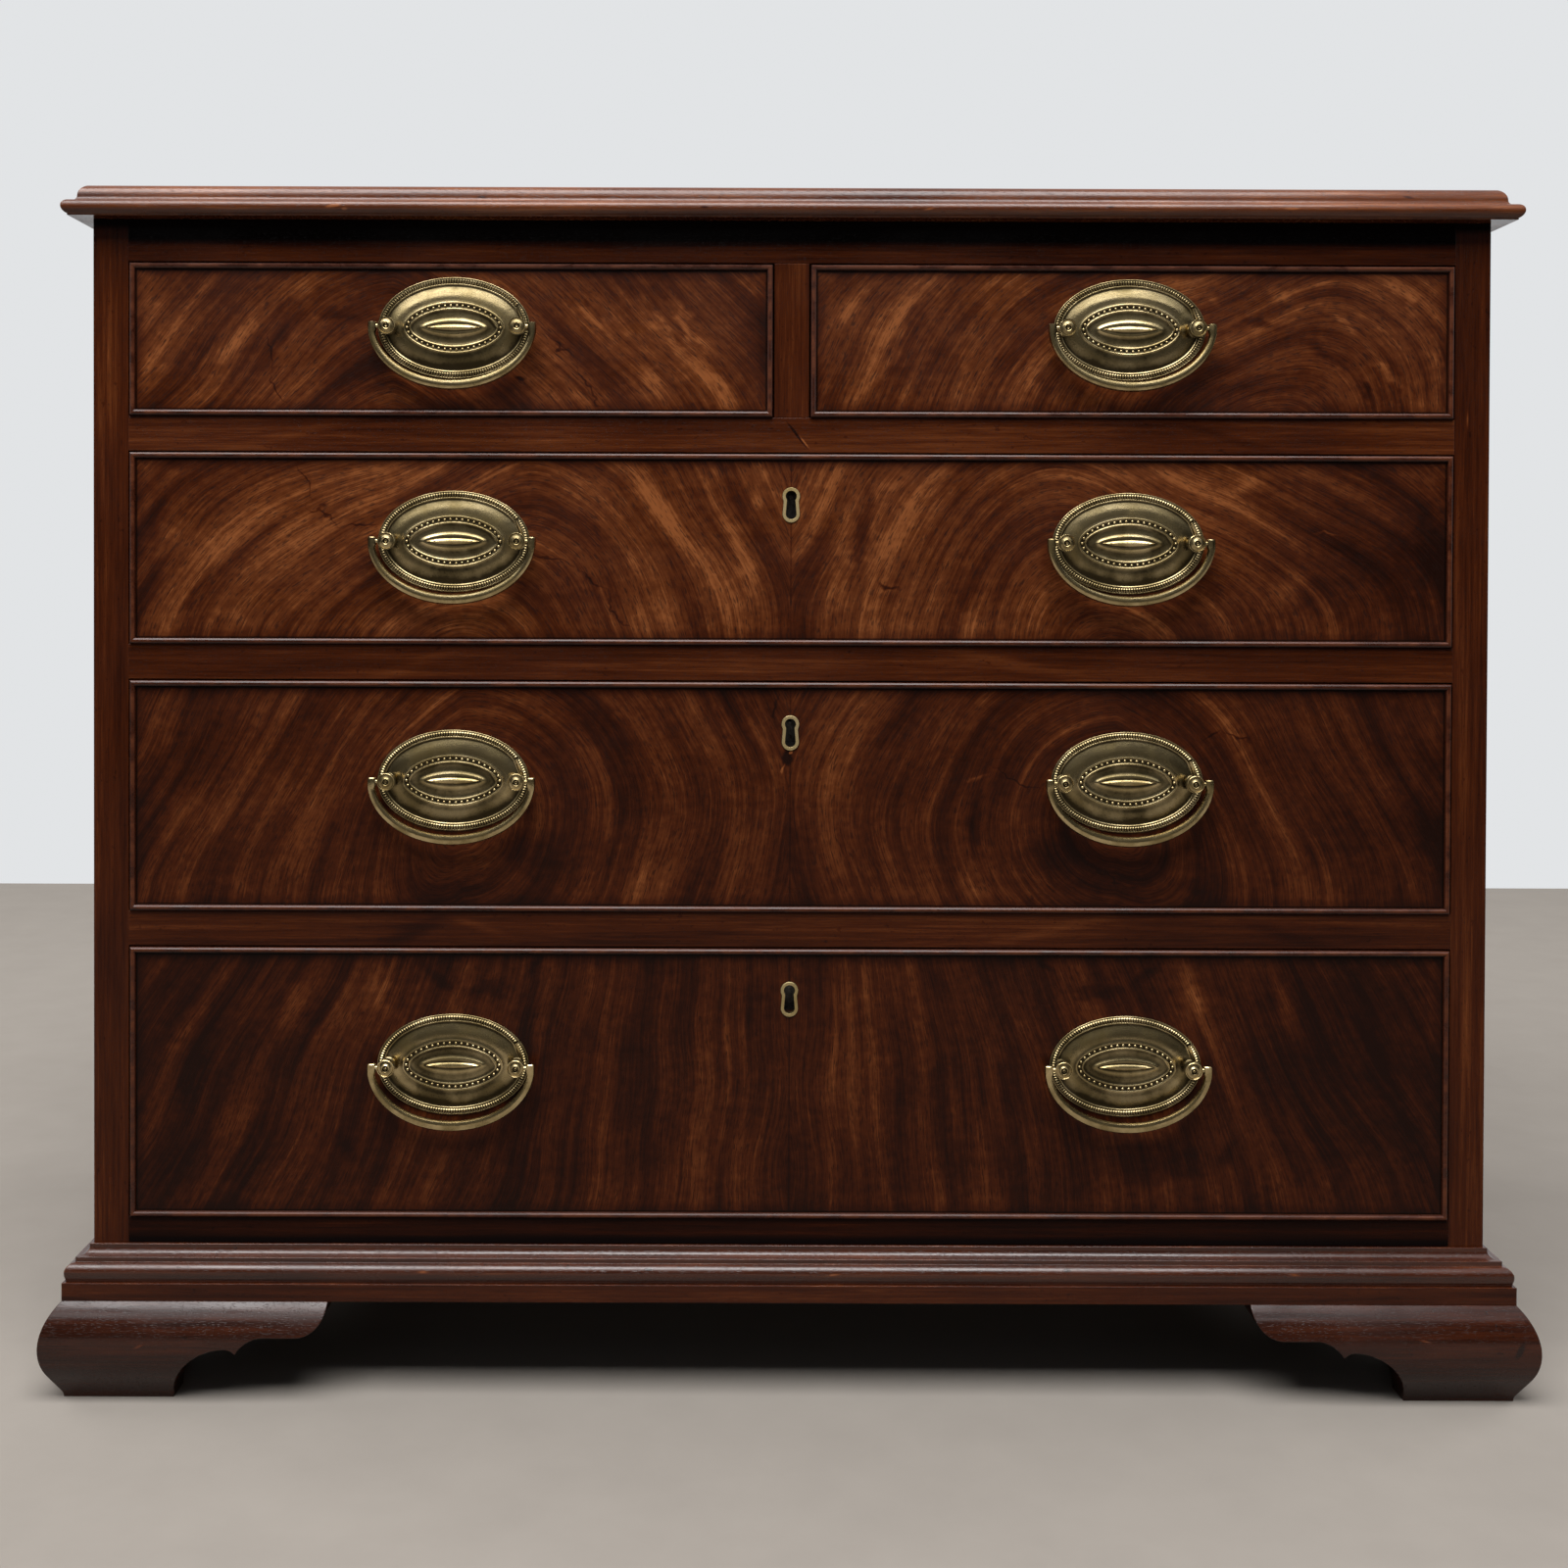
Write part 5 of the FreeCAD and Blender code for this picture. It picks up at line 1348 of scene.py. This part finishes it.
class CHEST_OT_bails(ChestOperator, bpy.types.Operator):
    """Casts the bails and hangs them between their posts"""

    bl_idname = "chest.bails"
    bl_label = "Bails"

    def execute(self, context):
        material = make_brass("brass_bails", context.scene.chest_brass, 0.35)
        master = bail_master()
        for row in ROWS:
            for side, x in row.handles.items():
                bm = fresh_mesh()
                set_down(bm, master, x, row.handle_level)
                name = f"{row.name}{side}"
                finished(bm, f"bail_{name}_cast", f"{name}_bail", material, f"bail_{name}")
        return {"FINISHED"}


class CHEST_OT_escutcheons(ChestOperator, bpy.types.Operator):
    """Lets the thread escutcheons into the long drawers"""

    bl_idname = "chest.escutcheons"
    bl_label = "Escutcheons"

    def execute(self, context):
        material = make_brass("brass_escutcheons", context.scene.chest_brass, 0.1, 0.30)
        for row in ROWS:
            if row.locked:
                bm = fresh_mesh()
                add_escutcheon(bm, row.floor + row.height - KEYHOLE_DROP)
                name = f"escutcheon_{row.name}"
                finished(bm, name, row.body, material, f"{row.node}_brasses")
        return {"FINISHED"}


OPERATORS = (
    CHEST_OT_stage,
    CHEST_OT_carcase,
    CHEST_OT_linings,
    CHEST_OT_fronts,
    CHEST_OT_locks,
    CHEST_OT_plates,
    CHEST_OT_posts,
    CHEST_OT_bails,
    CHEST_OT_escutcheons,
)
SETTINGS = {
    "chest_stage": StageSettings,
    "chest_woods": WoodColours,
    "chest_brass": BrassSettings,
}


class CHEST_PT_sidebar(bpy.types.Panel):
    """Lists what the chest is dressed with"""

    bl_label = "Chest"
    bl_idname = "CHEST_PT_sidebar"
    bl_space_type = "VIEW_3D"
    bl_region_type = "UI"
    bl_category = "Chest"

    def draw(self, context):
        for kind in OPERATORS:
            self.layout.operator(kind.bl_idname)
        for settings in SETTINGS:
            group = getattr(context.scene, settings)
            box = self.layout.box()
            for name in group.bl_rna.properties.keys():
                if name not in ("rna_type", "name"):
                    box.prop(group, name)


def register():
    for kind in (*SETTINGS.values(), *OPERATORS, CHEST_PT_sidebar):
        bpy.utils.register_class(kind)
    for name, kind in SETTINGS.items():
        setattr(bpy.types.Scene, name, bpy.props.PointerProperty(type=kind))


def unregister():
    for name in SETTINGS:
        delattr(bpy.types.Scene, name)
    for kind in reversed((*SETTINGS.values(), *OPERATORS, CHEST_PT_sidebar)):
        bpy.utils.unregister_class(kind)


def main():
    register()
    bpy.context.scene.view_settings.view_transform = "Standard"
    bpy.ops.chest.stage()
    bpy.ops.chest.carcase()
    bpy.ops.chest.linings()
    bpy.ops.chest.fronts()
    bpy.ops.chest.locks()
    bpy.ops.chest.plates()
    bpy.ops.chest.posts()
    bpy.ops.chest.bails()
    bpy.ops.chest.escutcheons()
    bpy.context.view_layer.update()


if __name__ == "__main__":
    main()
